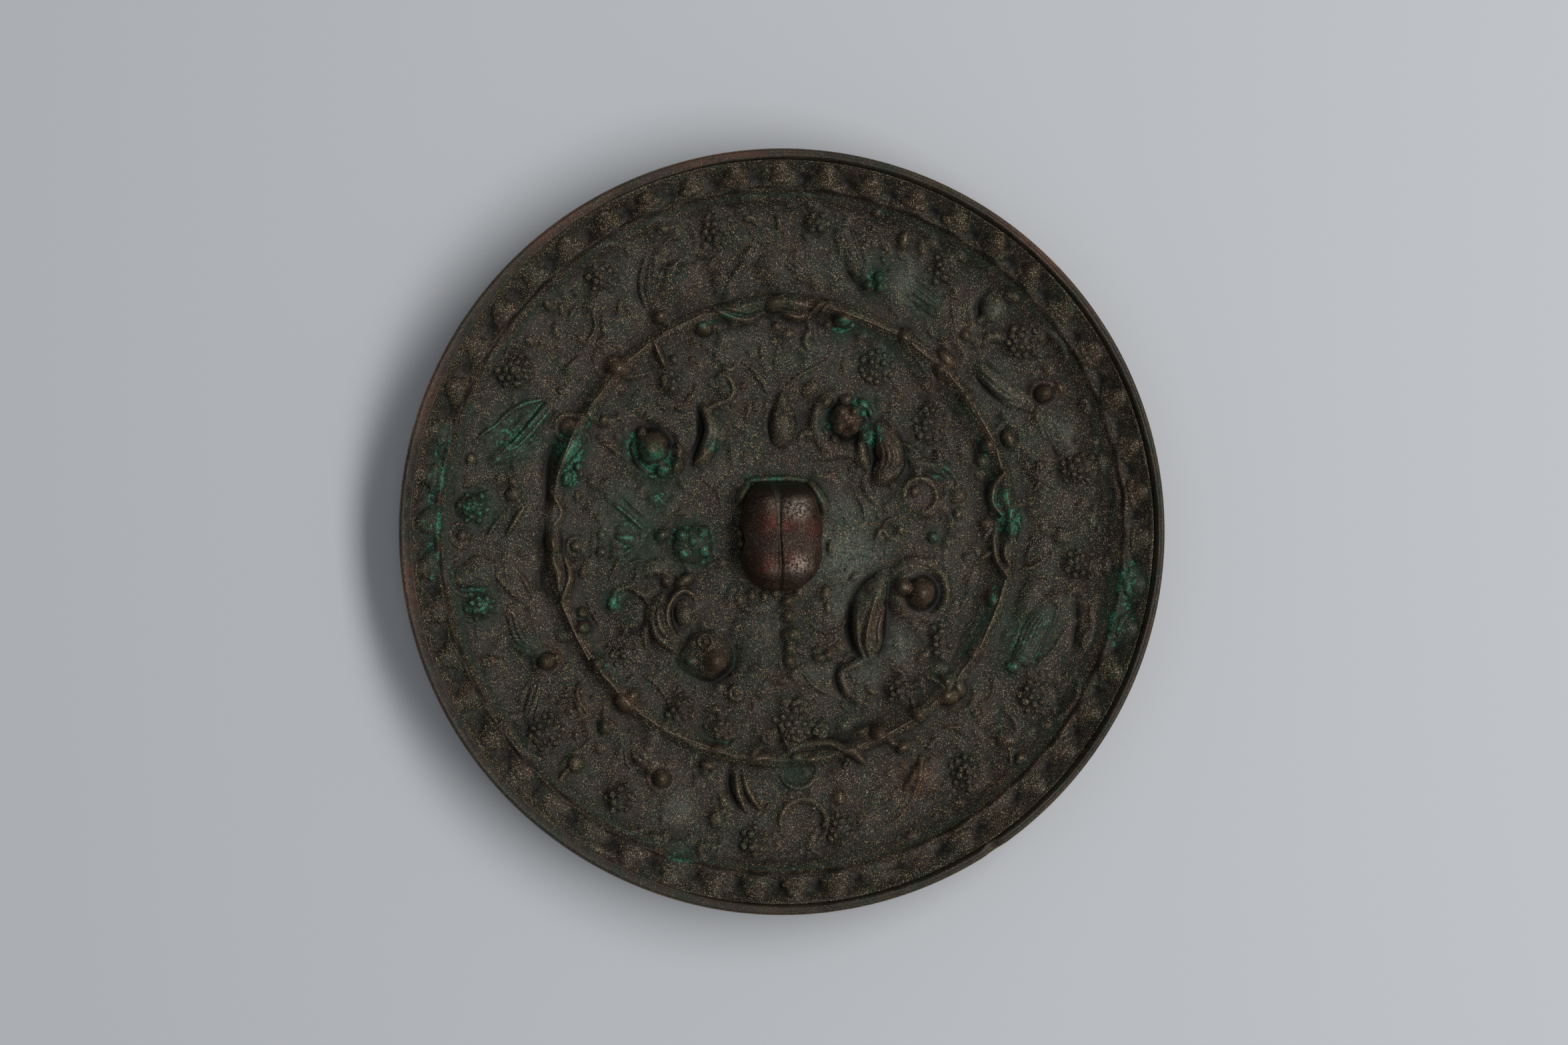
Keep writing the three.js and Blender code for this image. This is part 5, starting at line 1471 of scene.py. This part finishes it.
class GeometryTree(NodeTree):
    """A Geometry Nodes tree with one geometry in and one out."""

    def __init__(self, name: str) -> None:
        """Makes a tree with a geometry input and output."""
        super().__init__(bpy.data.node_groups.new(name, "GeometryNodeTree"), "GeometryNode")
        self.settings: dict[str, float] = {}
        for way in ("INPUT", "OUTPUT"):
            self.tree.interface.new_socket("Geometry", in_out=way, socket_type="NodeSocketGeometry")
        self.entry = self.tree.nodes.new("NodeGroupInput")
        self.exit = self.tree.nodes.new("NodeGroupOutput")

    def input(self, name: str, kind: str, value: float) -> Socket:
        """Adds a named input with its value and returns its socket inside."""
        made = self.tree.interface.new_socket(name, in_out="INPUT", socket_type=f"NodeSocket{kind}")
        made.default_value = value
        self.settings[made.identifier] = value
        return self.entry.outputs[name]

    def attribute(self, name: str) -> Socket:
        """A named value of the points, as a field."""
        made = self.node("InputNamedAttribute", {"data_type": "FLOAT"}, Name=name)
        return made.outputs["Attribute"]

    def vector(self, x: Socket, y: Socket, z: Socket) -> Socket:
        """A vector from three fields."""
        return self.node("ShaderNodeCombineXYZ", X=x, Y=y, Z=z).outputs["Vector"]

    def stored(self, geometry: Socket, value: Socket | float) -> Socket:
        """Geometry whose points carry the value as their crest."""
        kind = {"data_type": "FLOAT", "domain": "POINT"}
        made = self.node("StoreNamedAttribute", kind, Geometry=geometry, Name="crest", Value=value)
        return made.outputs["Geometry"]

    def ball(self, fineness: int, shade: float) -> Socket:
        """A ball of radius 1 whose crest rises towards its top: wear and a painted highlight above, painted
        shade below.
        """
        made = self.node("MeshIcoSphere", Subdivisions=fineness, Radius=1.0)
        split = self.node("ShaderNodeSeparateXYZ", Vector=self.node("InputPosition").outputs["Position"])
        return self.stored(made.outputs["Mesh"], self.times(split.outputs["Z"], shade))

    def spread(self, seed: Socket, low: float, high: float) -> Socket:
        """A random number for each point."""
        made = self.node("FunctionNodeRandomValue", {"data_type": "FLOAT"}, Seed=seed)
        made.inputs["Min"].default_value, made.inputs["Max"].default_value = low, high
        return made.outputs["Value"]

    def close(self, geometry: Socket, material: Material) -> None:
        """Ends the tree: instances made real, shaded smooth, with their material."""
        real = self.node("RealizeInstances", Geometry=geometry)
        smooth = self.node("SetShadeSmooth", Geometry=real.outputs["Geometry"])
        coated = self.node("SetMaterial", Geometry=smooth.outputs["Geometry"], Material=material)
        self.put(self.exit.inputs["Geometry"], coated.outputs["Geometry"])

    def plant(self, instance: Socket, material: Material, **inputs) -> None:
        """Sets a copy of the instance on each point, and ends the tree."""
        points = self.entry.outputs["Geometry"]
        placed = self.node("InstanceOnPoints", Points=points, Instance=instance, **inputs)
        self.close(placed.outputs["Instances"], material)

    def grow(self, target: Piece) -> Piece:
        """Runs the tree on an object and keeps the result as its mesh."""
        modifier = target.modifiers.new("grow", "NODES")
        modifier.node_group = self.tree
        for identifier, value in self.settings.items():
            modifier[identifier] = value
        apply_modifiers(target)
        return target


@dataclass
class Berries:
    """The round berries of every bunch, on a honeycomb with a little disorder."""

    pitch: float = 1.24
    radius: float = 0.62
    height_share: float = 0.85
    disorder: float = 0.14

    def lattice(self, x: float, y: float, rows: float, columns: float, turn: float,
                rng: Generator) -> list[Point]:
        """Berry places of one bunch.

        Args:
            x: The bunch's middle x.
            y: The bunch's middle y.
            rows: How many berries it is long, towards turn.
            columns: How many it is wide.
            turn: The direction of its length, in degrees.
            rng: The source of its disorder.

        Returns:
            The places, in millimetres.
        """
        found = []
        c, s = math.cos(math.radians(turn)), math.sin(math.radians(turn))
        for i in range(-4, 5):
            for j in range(-4, 5):
                u = self.pitch * 0.88 * i
                v = self.pitch * (j + 0.5 * (i % 2))
                if (u / (0.52 * rows * self.pitch)) ** 2 + (v / (0.56 * columns * self.pitch)) ** 2 > 1:
                    continue
                u, v = u + rng.normal(0, self.disorder), v + rng.normal(0, self.disorder)
                found.append((x + u * c - v * s, y + u * s + v * c))
        return found

    def places(self, casting: Casting) -> list[Point]:
        """Every berry of both fields."""
        rng = np.random.default_rng(SEED + 3)
        found = []
        for deg, radius, rows, columns in casting.outer.bunches:
            x, y = polar(deg, radius)
            found += self.lattice(x, y, rows, columns, deg, rng)
        for x, y, rows, columns, turn in casting.inner.bunches:
            found += self.lattice(x, y, rows, columns, turn, rng)
        cx, cy = casting.inner.rosette
        turns = np.linspace(0.4, 6.7, 7, endpoint=False)
        found += [(cx + 1.75 * math.cos(a), cy + 1.7 * math.sin(a)) for a in turns]
        found.append((cx, cy))
        return found

    def build(self, casting: Casting, relief: Relief, material: Material) -> Piece:
        """Grows the berries out of the relief."""
        rng = np.random.default_rng(SEED + 4)
        places = np.array(self.places(casting))
        x, y = places[:, 0], places[:, 1]
        size = rng.uniform(0.78, 1.12, len(places))
        level = relief.at(relief.surface, x, y) + rng.uniform(-0.35, 0.0, len(places))
        values = {"size": size, **relief.masks_at(MASKS[1:], x, y)}
        # less of the painted shade on the berries themselves than on their bed
        values["deep"] *= 0.35
        cloud = new_object("berries", np.column_stack([x, y, level]), [], values=values)
        tree = GeometryTree("Berries")
        radius = tree.input("Berry radius", "Float", self.radius)
        height = tree.input("Height share", "Float", self.height_share)
        seed = tree.input("Seed", "Int", SEED)
        wide = tree.times(tree.times(tree.attribute("size"), radius), MM)
        scale = tree.vector(tree.times(wide, tree.spread(seed, 0.92, 1.08)), wide, tree.times(wide, height))
        tree.plant(tree.ball(2, 0.5), material, Scale=scale)
        return tree.grow(cloud)


@dataclass
class Palmettes:
    """The crisp lobes of the border's palmettes."""

    top: float = 1.3
    side: float = 0.95
    foot: float = 8.55

    def build(self, border: Border, relief: Relief, material: Material) -> Piece:
        """Grows a top lobe and a wide lower one on each palmette that was not smeared."""
        rng = np.random.default_rng(SEED + 5)
        degs = np.array([deg for deg in border.angles() if not border.is_smeared(deg % 360)])
        size = rng.uniform(0.88, 1.08, len(degs))
        x, y = border.radius * np.cos(np.radians(degs)), border.radius * np.sin(np.radians(degs))
        level = np.full(len(degs), self.foot)
        values = {"size": size, "turn": np.radians(degs), **relief.masks_at(MASKS[1:], x, y)}
        cloud = new_object("palmettes", np.column_stack([x, y, level]), [], values=values)
        tree = GeometryTree("Palmettes")
        top = tree.input("Top lobe radius", "Float", self.top)
        side = tree.input("Side lobe radius", "Float", self.side)
        seed = tree.input("Seed", "Int", SEED)
        joined = tree.node("JoinGeometry")
        for radius, out, wide in ((top, 0.95, 1.15), (side, 0.15, 2.2)):
            scale = tree.vector(tree.times(radius, 0.95), tree.times(radius, wide), tree.times(radius, 0.82))
            place = Vector((out, 0, 0))
            moved = tree.node("Transform", Geometry=tree.ball(3, 0.3), Translation=place, Scale=scale)
            tree.put(joined.inputs["Geometry"], moved.outputs["Geometry"])
        turn = tree.node("ShaderNodeCombineXYZ", Z=tree.attribute("turn"))
        euler = tree.node("FunctionNodeEulerToRotation", Euler=turn.outputs["Vector"])
        scale = tree.times(tree.attribute("size"), MM)
        tall = tree.times(scale, tree.spread(seed, 0.85, 1.1))
        tree.plant(joined.outputs["Geometry"], material, Rotation=euler.outputs["Rotation"],
                   Scale=tree.vector(scale, scale, tall))
        return tree.grow(cloud)


@dataclass
class VineStem:
    """The thin bright wire of the vine between its nodes."""

    radius: float = 0.21
    ring: float = 36.2
    steps: int = 24
    sides: int = 10
    # the wire's crest value: a lighter colour along it, as wear and a painted highlight
    crest: float = 0.8
    lift: float = 0.1

    def build(self, vine: VineRing, relief: Relief, material: Material) -> Piece:
        """Sweeps a round section along each bare length of the vine."""
        rng = np.random.default_rng(SEED + 6)
        points, edges = [], []
        for start, end in vine.stems:
            count = max(4, int((end - start) * 1.6))
            first = len(points)
            shift = rng.uniform(-0.2, 0.2)
            for k, deg in enumerate(np.linspace(start, end, count)):
                swell = math.sin(math.pi * k / (count - 1))
                x, y = polar(float(deg), self.ring + shift - 0.18 * swell)
                level = relief.at(relief.surface, np.array([x]), np.array([y]))[0]
                points.append((x, y, float(level) + self.lift))
            edges += [(first + k, first + k + 1) for k in range(count - 1)]
        mesh = bpy.data.meshes.new("vine_stem")
        mesh.from_pydata(to_metres(np.array(points)).tolist(), edges, [])
        wire = linked("vine_stem", mesh)
        tree = GeometryTree("Vine stem")
        radius = tree.input("Stem radius", "Float", self.radius)
        path = tree.node("MeshToCurve", Mesh=tree.entry.outputs["Geometry"])
        even = tree.node("ResampleCurve", Curve=path.outputs["Curve"], Count=self.steps)
        section = tree.node("CurvePrimitiveCircle", Radius=tree.times(radius, MM), Resolution=self.sides)
        outlets = {"Curve": even.outputs["Curve"], "Profile_Curve": section.outputs["Curve"]}
        swept = tree.node("CurveToMesh", **outlets, Fill_Caps=True)
        tree.close(tree.stored(swept.outputs["Mesh"], self.crest), material)
        return tree.grow(wire)


# ---- finishes ----


def linear(red: int, green: int, blue: int) -> tuple[float, float, float, float]:
    """A screen colour, 0 to 255 a channel, as the linear colour that a shader takes."""
    def one(value: int) -> float:
        share = value / 255
        return share / 12.92 if share <= 0.04045 else ((share + 0.055) / 1.055) ** 2.4

    return one(red), one(green), one(blue), 1.0


@dataclass(frozen=True)
class Finish:
    """A bronze surface: its metal, its earth, its corrosion, painted shade and a painted highlight, as
    screen colours.
    """

    name: str
    dark: Shade
    brown: Shade
    # worn is the colour of rubbed crests, and it also serves as a painted highlight
    worn: Shade
    purple: Shade = (50, 40, 35)
    olive: Shade = (30, 44, 34)
    earth: Shade = (160, 138, 108)
    verdigris: Shade = (66, 132, 106)
    shade_green: Shade = (24, 46, 36)
    bloom: Shade = (84, 98, 88)
    copper: Shade = (88, 56, 44)
    ochre: Shade = (50, 37, 22)
    wear_and_highlight_share: float = 0.5
    earth_share: float = 0.35
    metal: float = 0.0
    worn_metal: float = 0.5
    specular: float = 0.2
    roughness: float = 0.5
    bump: float = 0.25
    bump_depth: float = 0.09
    bump_scale: float = 4.2
    grain_scale: float = 4.6
    uses_masks: bool = True


RELIEF_BRONZE = Finish("relief_bronze", (12, 11, 9), (49, 48, 42), (140, 122, 100), wear_and_highlight_share=0.55,
                       earth_share=0.75, worn_metal=0.7, roughness=0.5, bump=0.3)
RIM_BRONZE = Finish(
    "rim_bronze", (26, 23, 17), (56, 47, 35), (158, 122, 70), wear_and_highlight_share=0.9, earth_share=0.2, metal=0.15,
    worn_metal=0.5, specular=0.3, roughness=0.46,
)
KNOB_BRONZE = Finish("knob_bronze", (22, 16, 12), (70, 51, 41), (174, 158, 146), purple=(64, 38, 30),
                     olive=(46, 42, 34), copper=(96, 36, 28), bloom=(88, 94, 80), ochre=(92, 60, 36),
                     wear_and_highlight_share=0.7, earth_share=0.5, metal=0.5, worn_metal=0.85, specular=0.4,
                     roughness=0.36, bump=1.0, bump_depth=0.17, bump_scale=2.6, grain_scale=2.2)
FACE_BRONZE = Finish(
    "face_bronze", (44, 46, 40), (70, 70, 60), (92, 90, 74), copper=(66, 72, 58), wear_and_highlight_share=0.3, metal=0.4,
    specular=0.4, roughness=0.4, bump=0.1, uses_masks=False,
)


class FinishMaker(NodeTree):
    """Builds a material's nodes from a finish."""

    def __init__(self, finish: Finish) -> None:
        """Makes an empty material."""
        self.finish = finish
        self.material = bpy.data.materials.new(finish.name)
        self.material.use_nodes = True
        super().__init__(self.material.node_tree, "ShaderNode")
        self.tree.nodes.clear()

    def noise(self, scale: float, detail: float, rough: float) -> Socket:
        """Noise over the object's own coordinates, with scale in waves a millimetre."""
        made = self.node("TexNoise", Vector=self.place, Scale=scale / MM, Detail=detail, Roughness=rough)
        return made.outputs["Fac"]

    def attribute(self, name: str) -> Socket:
        """A named value of the mesh."""
        return self.node("Attribute", {"attribute_name": name}).outputs["Fac"]

    def step(self, value: Socket, low: float, high: float) -> Socket:
        """Spreads low..high of a value over 0..1, smoothly."""
        kind = {"interpolation_type": "SMOOTHSTEP"}
        return self.node("MapRange", kind, Value=value, From_Min=low, From_Max=high).outputs["Result"]

    def coat(self, colour: Socket | tuple, share: Socket | float, tint: Shade) -> Socket:
        """A colour covered by a share of a screen colour."""
        made = self.node("Mix", {"data_type": "RGBA"}, Factor=share)
        self.put(made.inputs[6], colour)
        self.put(made.inputs[7], linear(*tint))
        return made.outputs[2]

    def masked(self, colour: Socket, sandy: Socket, fine: Socket) -> Socket:
        """Lays wear, painted highlights, earth, corrosion, bloom and painted shade over the metal, by the
        mesh's named values.

        Args:
            colour: The metal's colour.
            sandy: Noise of some tenths of a millimetre.
            fine: Noise of about a fifth of a millimetre.

        Returns:
            The finished colour.
        """
        look, times, plus, coat, step = self.finish, self.times, self.plus, self.coat, self.step
        crest = self.attribute("crest")
        # hollow: how concave the surface is, used below as painted shade
        hollow = step(times(crest, -1.0), 0.1, 0.75)
        blotches = ((look.purple, 0.14, 0.46), (look.olive, 0.18, 0.49), (look.purple, 1.1, 0.53),
                    (look.olive, 0.9, 0.53))
        for tint, scale, low in blotches:
            patch = step(self.noise(scale, 5, 0.7), low, low + 0.1)
            colour = coat(colour, times(patch, 0.75), tint)
        covers = (("copper", look.copper, 0.75), ("ochre", look.ochre, 0.95), ("haze", look.bloom, 0.8))
        for name, tint, share in covers:
            cover = times(self.attribute(name), step(self.noise(1.3, 6, 0.78), 0.38, 0.56))
            colour = coat(colour, times(cover, share), tint)
        # wear and a painted highlight: a lighter, more metallic colour on crests
        self.worn = times(step(crest, 0.2, 0.95), step(self.noise(look.grain_scale, 2, 0.7), 0.4, 0.6))
        colour = coat(colour, times(self.worn, look.wear_and_highlight_share), look.worn)
        colour = coat(colour, times(step(fine, 0.45, 0.34), 0.75), look.dark)
        cluster = plus(step(self.noise(0.9, 4, 0.7), 0.38, 0.6), 0.35)
        amount = times(cluster, plus(self.attribute("tan"), 1.2))
        grains = times(step(fine, 0.565, 0.66), amount)
        colour = coat(colour, times(grains, look.earth_share), look.earth)
        # painted shade: the dark colour laid into hollows and recesses, by hollow and deep
        colour = coat(colour, times(hollow, 0.8), look.dark)
        colour = coat(colour, times(self.attribute("deep"), 0.85), look.dark)
        green = self.attribute("green")
        tinge = times(step(green, 0.01, 0.5), step(sandy, 0.25, 0.55))
        colour = coat(colour, times(tinge, 0.62), look.shade_green)
        ragged = self.maths("SUBTRACT", self.noise(1.3, 6, 0.78), 0.5)
        edges = step(self.maths("ABSOLUTE", crest, 0.0), 0.05, 0.7)
        level = plus(times(green, 0.5), times(edges, 0.36))
        crust = step(plus(level, times(ragged, 2.2)), 0.465, 0.625)
        crust = times(crust, step(green, 0.04, 0.4))
        crust = times(crust, step(self.noise(4.2, 3, 0.7), 0.4, 0.56))
        return coat(colour, times(crust, 0.85), look.verdigris)

    def build(self) -> Material:
        """Joins the layers: metal, wear with painted highlights, earth, corrosion, painted shade."""
        look, times = self.finish, self.times
        self.place = self.node("TexCoord").outputs["Object"]
        cloudy = self.noise(0.5, 6, 0.68)
        sandy = self.noise(2.6, 3, 0.7)
        fine = self.noise(5.4, 2, 0.6)
        ground = self.plus(times(self.noise(0.11, 3, 0.5), 0.45), times(cloudy, 0.55))
        colour = self.coat(linear(*look.dark), self.step(ground, 0.37, 0.6), look.brown)
        metallic = look.metal
        low, high = look.roughness - 0.08, look.roughness + 0.2
        rough = self.node("MapRange", Value=sandy, To_Min=low, To_Max=high).outputs["Result"]
        if look.uses_masks:
            colour = self.masked(colour, sandy, fine)
            metallic = self.plus(times(self.worn, look.worn_metal - look.metal), look.metal)
            rough = self.maths("SUBTRACT", rough, times(self.worn, 0.16))
        else:
            red = self.step(self.noise(0.45, 4, 0.65), 0.52, 0.68)
            colour = self.coat(colour, times(red, 0.5), look.copper)
            colour = self.coat(colour, times(self.step(sandy, 0.52, 0.7), look.wear_and_highlight_share), look.worn)
        ripple = self.noise(look.bump_scale, 4, 0.75)
        bump = self.node("Bump", Strength=look.bump, Distance=look.bump_depth * MM, Height=ripple)
        shader = self.node("BsdfPrincipled", Base_Color=colour, Metallic=metallic, Roughness=rough,
                           Specular_IOR_Level=look.specular, Normal=bump.outputs["Normal"])
        self.node("OutputMaterial", Surface=shader.outputs["BSDF"])
        return self.material


# ---- the studio ----


@dataclass
class Studio:
    """A pale floor, a soft main light from the right, a weak fill, and a camera overhead."""

    view_width: float = 245.7
    lens: float = 100.0
    tilt_deg: float = 3.0
    aim: tuple[float, float, float] = (0.15, 1.45, 9.0)
    floor_colour: Shade = (200, 203, 208)

    def floor(self) -> Piece:
        """A wide plain floor under the mirror."""
        half, depth = 1200, 4
        corners = ((-half, -half), (half, -half), (half, half), (-half, half))
        points = [(x, y, z) for z in (-depth, 0) for x, y in corners]
        faces = [[3, 2, 1, 0], [4, 5, 6, 7], [0, 1, 5, 4], [1, 2, 6, 5], [2, 3, 7, 6], [3, 0, 4, 7]]
        made = new_object("studio_floor", np.array(points, float), faces, smooth=False)
        material = bpy.data.materials.new("studio_floor")
        material.use_nodes = True
        shader = material.node_tree.nodes["Principled BSDF"]
        shader.inputs["Base Color"].default_value = linear(*self.floor_colour)
        shader.inputs["Roughness"].default_value = 0.9
        shader.inputs["Specular IOR Level"].default_value = 0.1
        made.data.materials.append(material)
        return made

    def light(self, name: str, azimuth: float, elevation: float, distance: float, size: Point, power: float,
              colour: Colour) -> Piece:
        """An oblong area light turned to the mirror.

        Args:
            name: Its name.
            azimuth: Its direction in plan, in degrees anticlockwise from +X.
            elevation: Its height over the horizon, in degrees.
            distance: How far it is, in millimetres.
            size: Its sides, in millimetres: the level one, then the one that leans to the mirror.
            power: Its power in watts.
            colour: Its linear colour.

        Returns:
            The light.
        """
        data = bpy.data.lights.new(name, "AREA")
        data.shape, data.energy, data.color = "RECTANGLE", power, colour
        data.size, data.size_y = size[0] * MM, size[1] * MM
        made = linked(name, data)
        a, e = math.radians(azimuth), math.radians(elevation)
        away = Vector((math.cos(e) * math.cos(a), math.cos(e) * math.sin(a), math.sin(e)))
        made.location = away * distance * MM + Vector((CENTRE_X, CENTRE_Y, CAD_LOW[2]))
        made.rotation_euler = away.to_track_quat("Z", "Y").to_euler()
        return made

    def build(self) -> None:
        """Sets up the floor, the lights, the surroundings and the camera."""
        self.floor()
        self.light("main_light", 3, 57, 900, (1200, 280), 6.9, (1.0, 0.985, 0.96))
        self.light("fill_light", 180, 76, 1100, (900, 900), 1.1, (0.95, 0.97, 1.0))
        world = bpy.data.worlds.new("studio")
        bpy.context.scene.world = world
        world.use_nodes = True
        background = world.node_tree.nodes["Background"]
        background.inputs["Color"].default_value = (0.93, 0.96, 1.0, 1.0)
        background.inputs["Strength"].default_value = 0.19
        camera_data = bpy.data.cameras.new("camera")
        camera_data.lens = self.lens
        camera_data.clip_start, camera_data.clip_end = 0.01, 10
        camera = linked("camera", camera_data)
        distance = self.view_width * self.lens / camera_data.sensor_width
        tilt = math.radians(self.tilt_deg)
        target = Vector(to_metres(np.array([self.aim]))[0])
        away = Vector((-math.sin(tilt), 0, math.cos(tilt)))
        camera.location = target + away * distance * MM
        camera.rotation_euler = (0, -tilt, 0)
        bpy.context.scene.camera = camera
        bpy.context.scene.view_settings.view_transform = "Standard"


# ---- everything together ----


@dataclass
class Mirror:
    """The dressed mirror: every piece, its finish and its place in the CAD part."""

    casting: Casting = field(default_factory=Casting)
    patches: tuple[Patch, ...] = (
        Patch("inner_disc", 0, 22), Patch("inner_ring", 22, 34.4), Patch("vine_ring", 34.4, 44),
        Patch("outer_field", 44, 53.6, 0.2), Patch("border", 53.6, 58.25),
    )

    def build(self) -> list[Piece]:
        """Builds every piece and ties it to the CAD part."""
        relief = self.casting.relief()
        bronze = FinishMaker(RELIEF_BRONZE).build()
        made = [self.coated(patch.build(relief), bronze) for patch in self.patches]
        for maker, finish in ((Rim(), RIM_BRONZE), (ReflectingFace(), FACE_BRONZE), (Knob(), KNOB_BRONZE)):
            made.append(self.coated(maker.build(), FinishMaker(finish).build()))
        made.append(Berries().build(self.casting, relief, bronze))
        made.append(Palmettes().build(self.casting.border, relief, bronze))
        made.append(VineStem().build(self.casting.vine, relief, bronze))
        for piece in made:
            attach(piece, "root")
            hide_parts("mirror")
            log.info("%s: %d faces", piece.name, len(piece.data.polygons))
        return made

    def coated(self, piece: Piece, material: Material) -> Piece:
        """Gives a piece its only material."""
        piece.data.materials.clear()
        piece.data.materials.append(material)
        return piece


def main() -> None:
    """Builds the mirror and the studio."""
    Mirror().build()
    Studio().build()
    log.info("sizes written")


if __name__ == "__main__":
    main()
